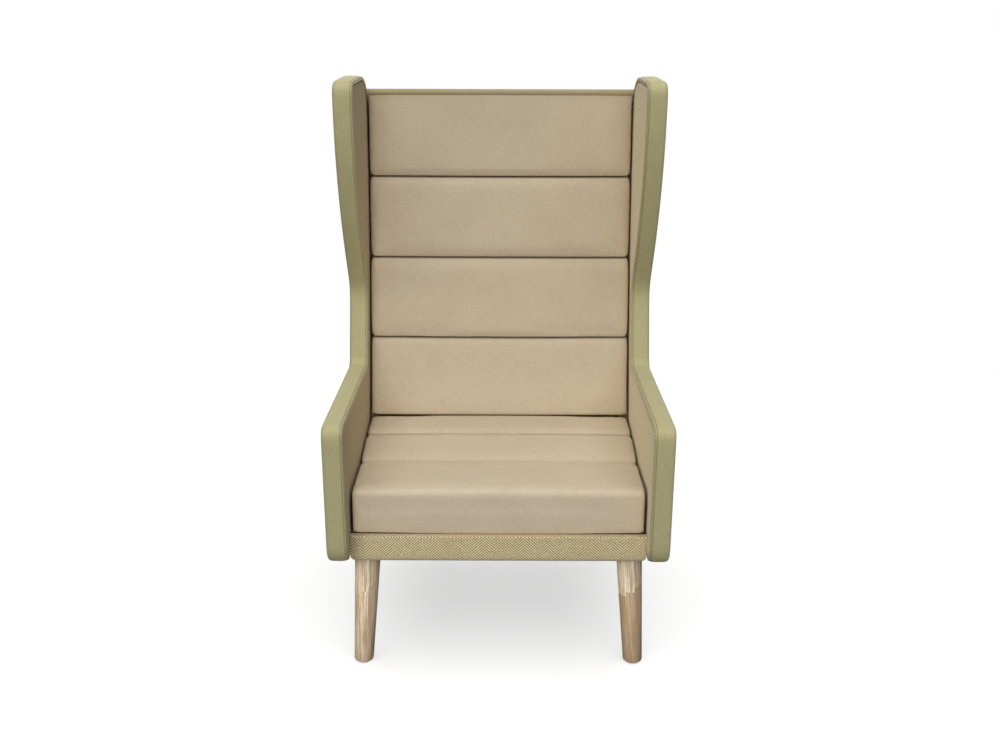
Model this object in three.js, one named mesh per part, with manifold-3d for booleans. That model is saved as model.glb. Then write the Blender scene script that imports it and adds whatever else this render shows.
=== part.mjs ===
// An acoustic high back lounge chair: two upholstered arm-and-wing side panels, a channelled
// seat and back between them, a hardwood seat frame and four turned wooden legs.
// Millimetres. X runs across the chair, Y from the arm fronts to the back, Z up from the floor.

import * as THREE from 'three';
import { mergeVertices } from 'three/addons/utils/BufferGeometryUtils.js';
import Module from 'manifold-3d';

// Whole chair
const overallWidth = 720;
const overallHeight = 1223;
const panelThickness = 43.5;
const fitGap = 0.3;

// Side panel outline, seen from the side
const panelBottomRise = 17;
const panelBottomRadius = 48;
const armFrontHeight = 612;
const armLength = 558;
const armSlopeDegrees = 9;
const armFrontRadius = 26;
const armRearRadius = 24;
const waistDepth = 628;
const waistHeight = 690;
const waistRadius = 60;
const wingFrontDepth = 436;
const wingLeanDegrees = 34.2;
const wingCurveStart = 57;
const wingLowerSweep = 158;
const wingUpperSweep = 150;
const wingUprightLength = 63;
const wingTopRadius = 34;
const wingTopSlopeDegrees = 7.5;
const wingTopLength = 204;
const shoulderDrop = 248;
const shoulderSweep = 135;
const wingRearSweep = 116;

// Side panel make-up, through its thickness
const edgeRollDepth = 11;
const edgeRollRadius = 9;
const facePadThickness = 7.7;

// Seat cushion
const seatFrontDepth = 70;
const seatFrontHeight = 409;
const seatFall = 24;
const seatFrontRadius = 30;
const seatPadThickness = 28;
const seatRearSeamDepth = 449;
const seatFrontSeamDepth = 289;
const seatGroove = 6;
const cushionSideGap = 2;
const seatCornerRadius = 10;
const sideDrawIn = 2.5;
const seamDrawIn = 5;
const padCrown = 3;
const channelSharpness = 9;

// Back cushion and what lies behind it, in layers measured straight back
const backBottomDepth = 552;
const backLeanRun = 170;
const backLeanRise = 372;
const backTopLeanRun = 20;
const wingRise = 87;
const backFootDepth = 523;
const backTurnDrop = 56;
const backPadThickness = 44;
const backCornerRadius = 12;
const backGroove = 14;
const backTopThickness = 8;
const backSeamShares = [0, 0.243, 0.493, 0.743, 1];
const backFoamThickness = 10;
const backBoardThickness = 5;
const postThickness = 19;
const postWidth = 24;
const backDepth = 106;
const shellInset = 9;
const shellThickness = 14;
const shellLipDepth = 752;
const foamTopDrop = 72;
const boardTopDrop = 165;
const backRailHeight = 46;
const lumbarRailShare = 0.36;
const postBoltShare = 0.64;

// Seat box
const seatBoxHeight = 66;
const railCoverDepth = 58;
const seatFaceHeight = 77;
const railCoverRadius = 22;
const railCoverThickness = 5;
const railCoverTopReturn = 14;
const railCoverBottomReturn = 23;
const railCoverEdge = 2.5;
const frameBottomRise = 5.3;
const railThickness = 24.7;
const sideRailThickness = 20;
const webbingThickness = 2;
const webbingStrapWidth = 50;
const webbingGaps = 4;
const webbingFrontInset = 1;
const cornerBlockLength = 75;
const cornerBlockTip = 20;
const cornerBlockHeight = 40;
const dustCoverThickness = 1.2;

// Legs
const legTopInset = 76;
const legFootInset = 60;
const frontLegTopDepth = 112;
const frontLegFootDepth = 94;
const rearLegTopDepth = 560;
const rearLegFootDepth = 600;
const legTopRadius = 28.4;
const legFootRadius = 21.3;
const legFootEdge = 3;
const legHoleClearance = 1.5;
const glideHeight = 2.5;
const glideRadius = 17;
const glideEdge = 0.8;
const legPlateWidth = 56;
const legPlateCorner = 8;
const legPlateThickness = 3;
const legBoltRadius = 5;
const legBoltDepth = 45;
const legBoltReach = 34;
const boltClearance = 0.4;
const plateClearance = 0.8;

// Side bolts and their threaded inserts
const sideBoltRadius = 4;
const sideBoltHeadRadius = 7;
const sideBoltHeadLength = 5;
const insertRadius = 6;
const insertLength = 18;
const insertSetIn = 4;
const sideBoltOvershoot = 2;
const frontBoltDepth = 200;
const rearBoltDepth = 480;

// Facets
const cornerSteps = 5;
const curveSteps = 8;
const backSteps = 16;
const legSides = 24;
const boltSides = 10;
const rollSteps = 3;
const fullTurn = Math.PI * 2;
const cutOverrun = 2;
const cornerShareOfSide = 0.49;

// Sizes that follow from the ones above
const innerHalfWidth = overallWidth / 2 - panelThickness;
const cushionHalfWidth = innerHalfWidth - cushionSideGap;
const betweenPanels = innerHalfWidth - fitGap;
const armSlope = Math.tan(THREE.MathUtils.degToRad(armSlopeDegrees));
const wingTopSlope = Math.tan(THREE.MathUtils.degToRad(wingTopSlopeDegrees));
const wingLean = THREE.MathUtils.degToRad(wingLeanDegrees);
const shoulderHeight = overallHeight - shoulderDrop;
const backTopHeight = overallHeight - wingRise;
const boardTopHeight = backTopHeight - boardTopDrop;
const seatRearHeight = seatFrontHeight - seatFall;
const railCoverTopHeight = seatFrontHeight - seatFaceHeight;
const seatBoxBottomHeight = railCoverTopHeight - seatBoxHeight;
const panelBottomHeight = seatBoxBottomHeight + panelBottomRise;
const frameBottomHeight = seatBoxBottomHeight + frameBottomRise;
const frameTopHeight = railCoverTopHeight - railCoverThickness / 2;
const frontRailDepth = railCoverDepth + railCoverThickness + fitGap;
const frontRailRear = frontRailDepth + railThickness;
const webbingTopHeight = frameTopHeight + fitGap + webbingThickness;
const foamOffset = backPadThickness + fitGap;
const boardOffset = foamOffset + backFoamThickness + fitGap;
const postOffset = boardOffset + backBoardThickness + fitGap;
const legTopX = overallWidth / 2 - legTopInset;
const legFootX = overallWidth / 2 - legFootInset;

// Outlines in the side view, as points with x = depth and y = height
const point = (depth, height) => new THREE.Vector2(depth, height);

function cornerArc(before, corner, after, radius) {
  const toBefore = before.clone().sub(corner);
  const toAfter = after.clone().sub(corner);
  const shorter = Math.min(toBefore.length(), toAfter.length());
  toBefore.normalize();
  toAfter.normalize();
  const halfAngle = Math.acos(THREE.MathUtils.clamp(toBefore.dot(toAfter), -1, 1)) / 2;
  const tangent = Math.min(radius / Math.tan(halfAngle), shorter * cornerShareOfSide);
  const curve = new THREE.QuadraticBezierCurve(
    corner.clone().addScaledVector(toBefore, tangent),
    corner,
    corner.clone().addScaledVector(toAfter, tangent),
  );
  const arcRadius = tangent * Math.tan(halfAngle);
  const centre = toBefore.clone().add(toAfter).normalize()
    .multiplyScalar(arcRadius / Math.sin(halfAngle)).add(corner);
  return curve.getPoints(cornerSteps).map((bent) => {
    const spoke = bent.sub(centre);
    return spoke.setLength(arcRadius).add(centre);
  });
}

function roundedOutline(corners) {
  return corners.flatMap(({ at, radius }, index) => {
    if (!radius) return [at];
    const before = corners[(index + corners.length - 1) % corners.length].at;
    const after = corners[(index + 1) % corners.length].at;
    return cornerArc(before, at, after, radius);
  });
}

function inwardNormals(outline, closed) {
  const count = outline.length;
  return outline.map((here, index) => {
    const last = closed ? outline[(index + count - 1) % count] : outline[Math.max(index - 1, 0)];
    const next = closed ? outline[(index + 1) % count] : outline[Math.min(index + 1, count - 1)];
    const arriving = here.clone().sub(last);
    const leaving = next.clone().sub(here);
    if (arriving.lengthSq() === 0) arriving.copy(leaving);
    if (leaving.lengthSq() === 0) leaving.copy(arriving);
    const first = point(-arriving.y, arriving.x).normalize();
    const second = point(-leaving.y, leaving.x).normalize();
    const middle = first.clone().add(second).normalize();
    return middle.divideScalar(middle.dot(first));
  });
}

function offsetOutline(outline, distance, closed = true) {
  const normals = inwardNormals(outline, closed);
  return outline.map((here, index) => here.clone().addScaledVector(normals[index], distance));
}

// The seat's upper surface, falling gently from front to rear
const rearRailRear = backFootDepth + backDepth - shellInset - shellThickness - fitGap;
const rearRailFront = rearRailRear - railThickness;
const seatRearDepth = rearRailFront - fitGap;
const seatSlope = (seatFrontHeight - seatRearHeight) / (seatRearDepth - seatFrontDepth - seatFrontRadius);
const seatHeightAt = (depth) => seatRearHeight + (seatRearDepth - depth) * seatSlope;
const backBottomHeight = seatHeightAt(backBottomDepth) + cushionSideGap / 2;

// The front surface of the back, sampled once so that every layer behind it shares its points
const backTopDepth = backBottomDepth + backLeanRun + backTopLeanRun;
const backCurve = new THREE.QuadraticBezierCurve(
  point(backBottomDepth, backBottomHeight),
  point(backBottomDepth + backLeanRun, backBottomHeight + backLeanRise),
  point(backTopDepth, backTopHeight),
);
const backFootCurve = new THREE.QuadraticBezierCurve(
  point(backFootDepth, seatBoxBottomHeight),
  point(backBottomDepth - backTurnDrop * backLeanRun / backLeanRise, backBottomHeight - backTurnDrop),
  point(backBottomDepth, backBottomHeight),
);
const backFront = [
  ...backFootCurve.getPoints(cornerSteps),
  ...backCurve.getPoints(backSteps).slice(1),
];

function depthOnLine(line, height) {
  const above = line.findIndex((sample) => sample.y > height);
  const end = above < 1 ? (above === 0 ? 1 : line.length - 1) : above;
  const low = line[end - 1];
  const high = line[end];
  return low.x + (high.x - low.x) * (height - low.y) / (high.y - low.y);
}
const backFrontAt = (height) => depthOnLine(backFront, height);
const backHeights = (low, high) => [
  low,
  ...backFront.map((sample) => sample.y).filter((height) => height > low + fitGap && height < high - fitGap),
  high,
];

// The rear line of the whole chair: up behind the back, over the shoulder and along the wing top
const wingTopHeightAt = (depth) => overallHeight - (depth - wingFrontDepth) * wingTopSlope;
const wingTopRear = point(wingFrontDepth + wingTopLength, wingTopHeightAt(wingFrontDepth + wingTopLength));
const shoulder = point(backFrontAt(shoulderHeight) + backDepth, shoulderHeight);
const shoulderCurve = new THREE.CubicBezierCurve(
  shoulder,
  point(shoulder.x, shoulder.y + shoulderSweep),
  point(wingTopRear.x + wingRearSweep, wingTopRear.y - wingRearSweep * wingTopSlope),
  wingTopRear,
);
const rearLine = [
  ...backHeights(seatBoxBottomHeight, shoulderHeight)
    .map((height) => point(backFrontAt(height) + backDepth, height)),
  ...shoulderCurve.getPoints(curveSteps).slice(1),
];
const shellInnerLine = offsetOutline(rearLine, shellInset + shellThickness, false);
const shellInnerAt = (height) => depthOnLine(shellInnerLine, height);

function panelOutline() {
  const bottomFront = point(0, panelBottomHeight);
  const bottomRear = point(backFrontAt(panelBottomHeight) + backDepth, panelBottomHeight);
  const armFront = point(0, armFrontHeight);
  const armRear = point(armLength, armFrontHeight - armLength * armSlope);
  const waist = point(waistDepth, waistHeight);
  const wingTop = point(wingFrontDepth, overallHeight);
  const wingDirection = point(-Math.sin(wingLean), Math.cos(wingLean));
  const wingStart = waist.clone().addScaledVector(wingDirection, wingCurveStart);
  const wingEnd = point(wingFrontDepth, overallHeight - wingUprightLength);
  const wingCurve = new THREE.CubicBezierCurve(
    wingEnd,
    point(wingEnd.x, wingEnd.y - wingUpperSweep),
    wingStart.clone().addScaledVector(wingDirection, wingLowerSweep),
    wingStart,
  );
  const cornerReach = panelBottomHeight + panelBottomRadius + fitGap;
  const rearEdge = rearLine.filter((sample) => sample.y > cornerReach);
  return [
    ...cornerArc(bottomFront, bottomRear, rearEdge[0], panelBottomRadius),
    ...rearEdge,
    ...cornerArc(wingTopRear, wingTop, wingEnd, wingTopRadius),
    ...wingCurve.getPoints(curveSteps).slice(0, -1),
    ...cornerArc(
      wingStart.clone().addScaledVector(wingDirection, wingCurveStart),
      waist,
      armRear,
      waistRadius
    ),
    ...cornerArc(waist, armRear, armFront, armRearRadius),
    ...cornerArc(armRear, armFront, bottomFront, armFrontRadius),
    ...cornerArc(armFront, bottomFront, bottomRear, panelBottomRadius),
  ];
}

// Solids
const acrossBasis = new THREE.Matrix4().makeBasis(
  new THREE.Vector3(0, 1, 0),
  new THREE.Vector3(0, 0, 1),
  new THREE.Vector3(1, 0, 0),
);

function circle(x, y, radius) {
  return new THREE.Path().absarc(x, y, radius, 0, fullTurn, true);
}

function extrudeAcross(outline, fromX, toX) {
  const width = Math.abs(toX - fromX);
  const geometry = new THREE.ExtrudeGeometry(new THREE.Shape(outline), { depth: width, bevelEnabled: false });
  return geometry.applyMatrix4(acrossBasis).translate(Math.min(fromX, toX), 0, 0);
}

function drillAcross(geometry, fromX, toX, radius, places) {
  const length = Math.abs(toX - fromX) + cutOverrun * 2;
  return places.reduce((body, { depth, height }) => {
    const drill = new THREE.CylinderGeometry(radius, radius, length, boltSides).rotateZ(Math.PI / 2);
    return subtract(body, drill.translate((fromX + toX) / 2, depth, height));
  }, geometry);
}

function extrudeUp(shape, height, sides) {
  return new THREE.ExtrudeGeometry(shape, { depth: height, bevelEnabled: false, curveSegments: sides / 2 });
}

function turned(profile, sides) {
  const points = profile.map(([radius, along]) => point(radius, along));
  return new THREE.LatheGeometry(points, sides).rotateX(Math.PI / 2);
}

function facingOut(geometry) {
  const { array } = geometry.attributes.position;
  const index = geometry.index.array;
  const corner = [new THREE.Vector3(), new THREE.Vector3(), new THREE.Vector3()];
  let volume = 0;
  for (let first = 0; first < index.length; first += 3) {
    corner.forEach((vertex, turn) => vertex.fromArray(array, index[first + turn] * 3));
    volume += corner[0].dot(corner[1].clone().cross(corner[2]));
  }
  if (volume < 0) geometry.setIndex(Array.from(index).reverse());
  return geometry;
}

function capTriangles(contour) {
  const { area } = THREE.ShapeUtils;
  const sense = Math.sign(area(contour));
  return THREE.ShapeUtils.triangulateShape([...contour], []).map((face) => (
    Math.sign(area(face.map((index) => contour[index]))) === sense ? face : [...face].reverse()
  ));
}

function skin(rings, capFlat) {
  const around = rings[0].length;
  const vertices = rings.flat().flatMap((vertex) => [vertex.x, vertex.y, vertex.z]);
  const faces = [];
  const steps = capFlat ? rings.length - 1 : rings.length;
  for (let ring = 0; ring < steps; ring += 1) {
    const nextRing = (ring + 1) % rings.length;
    for (let step = 0; step < around; step += 1) {
      const here = ring * around + step;
      const beside = ring * around + (step + 1) % around;
      const ahead = nextRing * around + step;
      const across = nextRing * around + (step + 1) % around;
      faces.push(here, beside, across, here, across, ahead);
    }
  }
  if (capFlat) {
    const lastStart = (rings.length - 1) * around;
    capTriangles(capFlat(rings[0])).forEach(([a, b, c]) => faces.push(c, b, a));
    capTriangles(capFlat(rings.at(-1))).forEach(([a, b, c]) => {
      faces.push(lastStart + a, lastStart + b, lastStart + c);
    });
  }
  const geometry = new THREE.BufferGeometry();
  geometry.setAttribute('position', new THREE.Float32BufferAttribute(vertices, 3));
  geometry.setIndex(faces);
  return facingOut(geometry);
}

const wasm = await Module();
wasm.setup();

function toSolid(geometry) {
  const bare = geometry.clone();
  bare.deleteAttribute('normal');
  bare.deleteAttribute('uv');
  const merged = mergeVertices(bare);
  return new wasm.Manifold(new wasm.Mesh({
    numProp: 3,
    vertProperties: Float32Array.from(merged.attributes.position.array),
    triVerts: Uint32Array.from(merged.index.array),
  }));
}

function subtract(body, cutter) {
  const mesh = toSolid(body).subtract(toSolid(cutter)).getMesh();
  const geometry = new THREE.BufferGeometry();
  geometry.setAttribute('position', new THREE.Float32BufferAttribute(mesh.vertProperties, 3));
  geometry.setIndex(Array.from(mesh.triVerts));
  return geometry;
}

// Finishes
const finish = (color, roughness, metalness = 0) => ({ color, roughness, metalness });
const beigeFabric = finish('#bea894', 0.9);
const greenFabric = finish('#99906b', 0.9);
const herringboneFabric = finish('#b2a382', 0.9);
const lining = finish('#2b2a28', 0.95);
const foam = finish('#e6dcbf', 0.95);
const plywood = finish('#b98f5f', 0.7);
const beech = finish('#c9a376', 0.65);
const oak = finish('#c4ad8c', 0.5);
const steel = finish('#a3a5a8', 0.35, 0.9);
const elastic = finish('#4a4640', 0.9);
const nylon = finish('#33322f', 0.6);

const chair = new THREE.Group();

function addPiece(parent, name, geometry, look) {
  const mesh = new THREE.Mesh(geometry, new THREE.MeshStandardMaterial(look));
  mesh.name = name;
  parent.add(mesh);
  return mesh;
}

// Side panels: a plywood board between two face pads, with a padded roll all round its edge
const sides = [{ side: 'left', sign: -1 }, { side: 'right', sign: 1 }];
const boardInnerX = innerHalfWidth + facePadThickness + fitGap;
const boardOuterX = overallWidth / 2 - facePadThickness - fitGap;
const postBoltHeight = THREE.MathUtils.lerp(backBottomHeight, boardTopHeight, postBoltShare);
const postBoltDepth = backFrontAt(postBoltHeight) + postOffset + postThickness / 2;
const boltHeight = (frameBottomHeight + frameTopHeight) / 2;
const seatBoltHeadX = betweenPanels - sideRailThickness;
const sideBolts = [
  { place: 'seat_front', depth: frontBoltDepth, height: boltHeight, headX: seatBoltHeadX },
  { place: 'seat_rear', depth: rearBoltDepth, height: boltHeight, headX: seatBoltHeadX },
  { place: 'back', depth: postBoltDepth, height: postBoltHeight, headX: betweenPanels - postWidth },
];

function edgeRoll(outline, sign) {
  const normals = inwardNormals(outline, true);
  const outerX = overallWidth / 2;
  const section = [{ x: innerHalfWidth, inward: edgeRollDepth }];
  for (let step = 0; step <= rollSteps; step += 1) {
    const turn = (Math.PI / 2) * (step / rollSteps);
    section.push({
      x: innerHalfWidth + edgeRollRadius * (1 - Math.cos(turn)),
      inward: edgeRollRadius * (1 - Math.sin(turn)),
    });
  }
  const mirrored = section.map(({ x, inward }) => ({ x: innerHalfWidth + outerX - x, inward })).reverse();
  const rings = outline.map((here, index) => [...section, ...mirrored].map(({ x, inward }) => {
    const place = here.clone().addScaledVector(normals[index], inward);
    return new THREE.Vector3(sign * x, place.x, place.y);
  }));
  return skin(rings);
}

const outline = panelOutline();
const innerOutline = offsetOutline(outline, edgeRollDepth + fitGap);
for (const { side, sign } of sides) {
  const panel = new THREE.Group();
  chair.add(panel);
  addPiece(panel, `side_edge_band_${side}`, edgeRoll(outline, sign), greenFabric);
  const boardInner = sign * boardInnerX;
  const boardOuter = sign * boardOuterX;
  addPiece(panel, `side_frame_${side}`, drillAcross(
    extrudeAcross(innerOutline, boardInner, boardOuter),
    boardInner, boardOuter, insertRadius + boltClearance, sideBolts,
  ), plywood);
  const padInner = sign * innerHalfWidth;
  const padOuter = sign * (innerHalfWidth + facePadThickness);
  addPiece(panel, `side_inner_pad_${side}`, drillAcross(
    extrudeAcross(innerOutline, padInner, padOuter),
    padInner, padOuter, sideBoltRadius + boltClearance, sideBolts,
  ), herringboneFabric);
  addPiece(panel, `side_outer_pad_${side}`, extrudeAcross(
    innerOutline, sign * (overallWidth / 2 - facePadThickness), sign * overallWidth / 2,
  ), herringboneFabric);
}

// Padded channels: closed rings across the chair, one after another along the pad, each with
// a low crown across its front, drawn-in sides and a groove at every seam
const frontShares = [0.86, 0.45, 0, -0.45, -0.86];
const cornerTurnShares = [0, 0.33, 0.67, 1];

function padSection(halfWidth, thickness, cornerRadius) {
  const edgeThickness = thickness - padCrown;
  const flatThickness = edgeThickness - cornerRadius;
  const flatWidth = halfWidth - cornerRadius;
  const rightSide = [
    [halfWidth, 0],
    [halfWidth - sideDrawIn, flatThickness / 2],
    ...cornerTurnShares.map((share) => {
      const turn = share * Math.PI / 2;
      return [flatWidth + cornerRadius * Math.cos(turn), flatThickness + cornerRadius * Math.sin(turn)];
    }),
  ];
  const front = frontShares.map((share) => [flatWidth * share, thickness - padCrown * share ** 2]);
  const leftSide = rightSide.map(([x, height]) => [-x, height]).reverse();
  return [...rightSide, ...front, ...leftSide];
}

// How full a channel stands at a share of its width: nothing at the seams, full across the middle
const channelFullness = (share) => 1 - Math.abs(2 * share - 1) ** channelSharpness;
const channelShares = [0, 0.03, 0.08, 0.2, 0.5, 0.8, 0.92, 0.97];
const risingShares = channelShares.filter((share) => share <= 1 / 2);
const fallingShares = channelShares.filter((share) => share > 1 / 2);
const padCap = (ring) => ring.map((vertex) => point(vertex.x, vertex.y + vertex.z));

function backCushion() {
  const stations = [];
  for (let channel = 0; channel < backSeamShares.length - 1; channel += 1) {
    const [low, high] = backSeamShares.slice(channel, channel + 2);
    channelShares.forEach((share) => {
      stations.push({ along: THREE.MathUtils.lerp(low, high, share), share });
    });
  }
  stations.push({ along: 1, share: 1 });
  const rings = stations.map(({ along, share }) => {
    const height = backCurve.getPointAt(along).y;
    const fullness = channelFullness(share);
    const rear = Math.min(backFrontAt(height) + backPadThickness, shellInnerAt(height) - fitGap);
    const front = Math.min(backFrontAt(height) + backGroove * (1 - fullness), rear - backTopThickness);
    const halfWidth = cushionHalfWidth - seamDrawIn * (1 - fullness);
    const cornerRadius = Math.min(backCornerRadius, (rear - front - padCrown) / 2);
    return padSection(halfWidth, rear - front, cornerRadius)
      .map(([x, thickness]) => new THREE.Vector3(x, rear - thickness, height));
  });
  return skin(rings, (ring) => ring.map((vertex) => point(vertex.x, vertex.y)));
}

function seatCushion() {
  const tilt = Math.atan(seatSlope);
  const stations = [];
  const flatStation = (depth, share) => stations.push({
    depth, height: seatHeightAt(depth), turn: tilt, share,
  });
  const seams = [seatRearDepth, seatRearSeamDepth, seatFrontSeamDepth];
  for (let channel = 0; channel < seams.length - 1; channel += 1) {
    channelShares.forEach((share) => {
      flatStation(THREE.MathUtils.lerp(seams[channel], seams[channel + 1], share), share);
    });
  }
  const noseStart = seatFrontDepth + seatFrontRadius;
  risingShares.forEach((share) => {
    flatStation(THREE.MathUtils.lerp(seatFrontSeamDepth, noseStart, share), share);
  });
  for (let step = 0; step <= cornerSteps; step += 1) {
    const turn = tilt + (Math.PI / 2 - tilt) * (step / cornerSteps);
    stations.push({
      depth: noseStart - seatFrontRadius * Math.sin(turn),
      height: seatHeightAt(noseStart) - seatFrontRadius * (1 - Math.cos(turn)),
      turn,
      share: 1 / 2,
    });
  }
  const faceTop = seatHeightAt(noseStart) - seatFrontRadius;
  const faceBottom = railCoverTopHeight + fitGap;
  fallingShares.forEach((share) => {
    const height = THREE.MathUtils.lerp(faceTop, faceBottom, share);
    stations.push({ depth: seatFrontDepth, height, turn: Math.PI / 2, share });
  });
  stations.push({ depth: seatFrontDepth, height: faceBottom, turn: Math.PI / 2, share: 1 });
  const rings = stations.map(({ depth, height, turn, share }) => {
    const fullness = channelFullness(share);
    const thickness = seatPadThickness - seatGroove * (1 - fullness);
    const halfWidth = cushionHalfWidth - seamDrawIn * (1 - fullness);
    return padSection(halfWidth, thickness, seatCornerRadius).map(([x, lift]) => {
      const sunk = seatPadThickness - lift;
      return new THREE.Vector3(x, depth + sunk * Math.sin(turn), height - sunk * Math.cos(turn));
    });
  });
  return skin(rings, padCap);
}

// Seat: frame, webbing, foam, cushion and covers
const seat = new THREE.Group();
chair.add(seat);
addPiece(seat, 'seat_cushion', seatCushion(), beigeFabric);

const seatFoamFront = seatFrontDepth + seatPadThickness + fitGap;
const seatFoamTopAt = (depth) => seatHeightAt(depth) - seatPadThickness - fitGap;
const seatFoamBottom = webbingTopHeight + fitGap;
addPiece(seat, 'seat_foam', extrudeAcross(roundedOutline([
  { at: point(seatFoamFront, seatFoamBottom) },
  { at: point(seatRearDepth, seatFoamBottom) },
  { at: point(seatRearDepth, seatFoamTopAt(seatRearDepth)) },
  { at: point(seatFoamFront, seatFoamTopAt(seatFoamFront)), radius: seatFrontRadius - seatPadThickness },
]), -cushionHalfWidth, cushionHalfWidth), foam);

function seatWebbing() {
  const front = frontRailDepth + railCoverTopReturn - railCoverThickness + webbingFrontInset;
  const length = seatRearDepth - front;
  const middle = front + length / 2;
  const gapSize = (span) => (span - webbingStrapWidth * (webbingGaps + 1)) / webbingGaps;
  const gapWidth = gapSize(betweenPanels * 2);
  const gapLength = gapSize(length);
  let net = new THREE.BoxGeometry(betweenPanels * 2, length, webbingThickness).translate(0, middle, 0);
  for (let column = 0; column < webbingGaps; column += 1) {
    const x = (column - (webbingGaps - 1) / 2) * (gapWidth + webbingStrapWidth);
    for (let row = 0; row < webbingGaps; row += 1) {
      const depth = middle + (row - (webbingGaps - 1) / 2) * (gapLength + webbingStrapWidth);
      const gap = new THREE.BoxGeometry(gapWidth, gapLength, webbingThickness + cutOverrun);
      net = subtract(net, gap.translate(x, depth, 0));
    }
  }
  return net;
}
addPiece(seat, 'seat_webbing', seatWebbing(), elastic).position.z = webbingTopHeight - webbingThickness / 2;

const coverInnerRadius = railCoverRadius - railCoverThickness;
const coverReturnDepth = railCoverDepth + railCoverBottomReturn;
const coverInner = railCoverDepth + railCoverThickness;
const coverInnerBottom = seatBoxBottomHeight + railCoverThickness;
addPiece(seat, 'front_rail_cover', extrudeAcross(roundedOutline([
  { at: point(railCoverDepth, railCoverTopHeight), radius: railCoverEdge },
  { at: point(railCoverDepth, seatBoxBottomHeight), radius: railCoverRadius },
  { at: point(coverReturnDepth, seatBoxBottomHeight) },
  { at: point(coverReturnDepth, coverInnerBottom) },
  { at: point(coverInner, coverInnerBottom), radius: coverInnerRadius },
  { at: point(coverInner, frameTopHeight + fitGap) },
  { at: point(railCoverDepth + railCoverTopReturn, frameTopHeight + fitGap) },
  { at: point(railCoverDepth + railCoverTopReturn, railCoverTopHeight) },
]), -betweenPanels, betweenPanels), herringboneFabric);

addPiece(seat, 'seat_rail_front', extrudeAcross(roundedOutline([
  { at: point(frontRailDepth, frameTopHeight) },
  { at: point(frontRailDepth, frameBottomHeight), radius: coverInnerRadius },
  { at: point(frontRailRear, frameBottomHeight) },
  { at: point(frontRailRear, frameTopHeight) },
]), -betweenPanels, betweenPanels), beech);

const box = (front, rear, low, high) => [
  point(front, low), point(rear, low), point(rear, high), point(front, high),
];
addPiece(seat, 'seat_rail_rear', extrudeAcross(
  box(rearRailFront, rearRailRear, frameBottomHeight, frameTopHeight), -betweenPanels, betweenPanels,
), beech);

const sideRailFront = frontRailRear + fitGap;
const sideRailRear = rearRailFront - fitGap;
for (const { side, sign } of sides) {
  const railInner = sign * (betweenPanels - sideRailThickness);
  const railOuter = sign * betweenPanels;
  addPiece(seat, `seat_rail_${side}`, drillAcross(
    extrudeAcross(
      box(sideRailFront, sideRailRear, frameBottomHeight, frameTopHeight), railInner, railOuter,
    ),
    railInner, railOuter, sideBoltRadius + boltClearance, sideBolts.slice(0, 2),
  ), beech);
}

// Legs: each is a straight taper that leans from its foot to its top, with both ends cut level
const plateTopHeight = frameBottomHeight - fitGap;
const legTopHeight = plateTopHeight - legPlateThickness - fitGap;
const legFootHeight = glideHeight + fitGap;
const legLength = legTopHeight - legFootHeight;
const legEnds = [
  { end: 'front', topDepth: frontLegTopDepth, footDepth: frontLegFootDepth, inward: 1 },
  { end: 'rear', topDepth: rearLegTopDepth, footDepth: rearLegFootDepth, inward: -1 },
];
const legTaper = (legTopRadius - legFootRadius) / legLength;
const footEdgeSetIn = legFootEdge * (1 - Math.SQRT1_2);

function cornerBlock(xSign, depthSign) {
  const sizes = [
    [0, 0], [cornerBlockLength, 0], [cornerBlockLength, cornerBlockTip],
    [cornerBlockTip, cornerBlockLength], [0, cornerBlockLength],
  ];
  const shape = new THREE.Shape(sizes.map(([x, depth]) => point(-xSign * x, depthSign * depth)));
  return extrudeUp(shape, cornerBlockHeight, boltSides);
}

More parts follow.
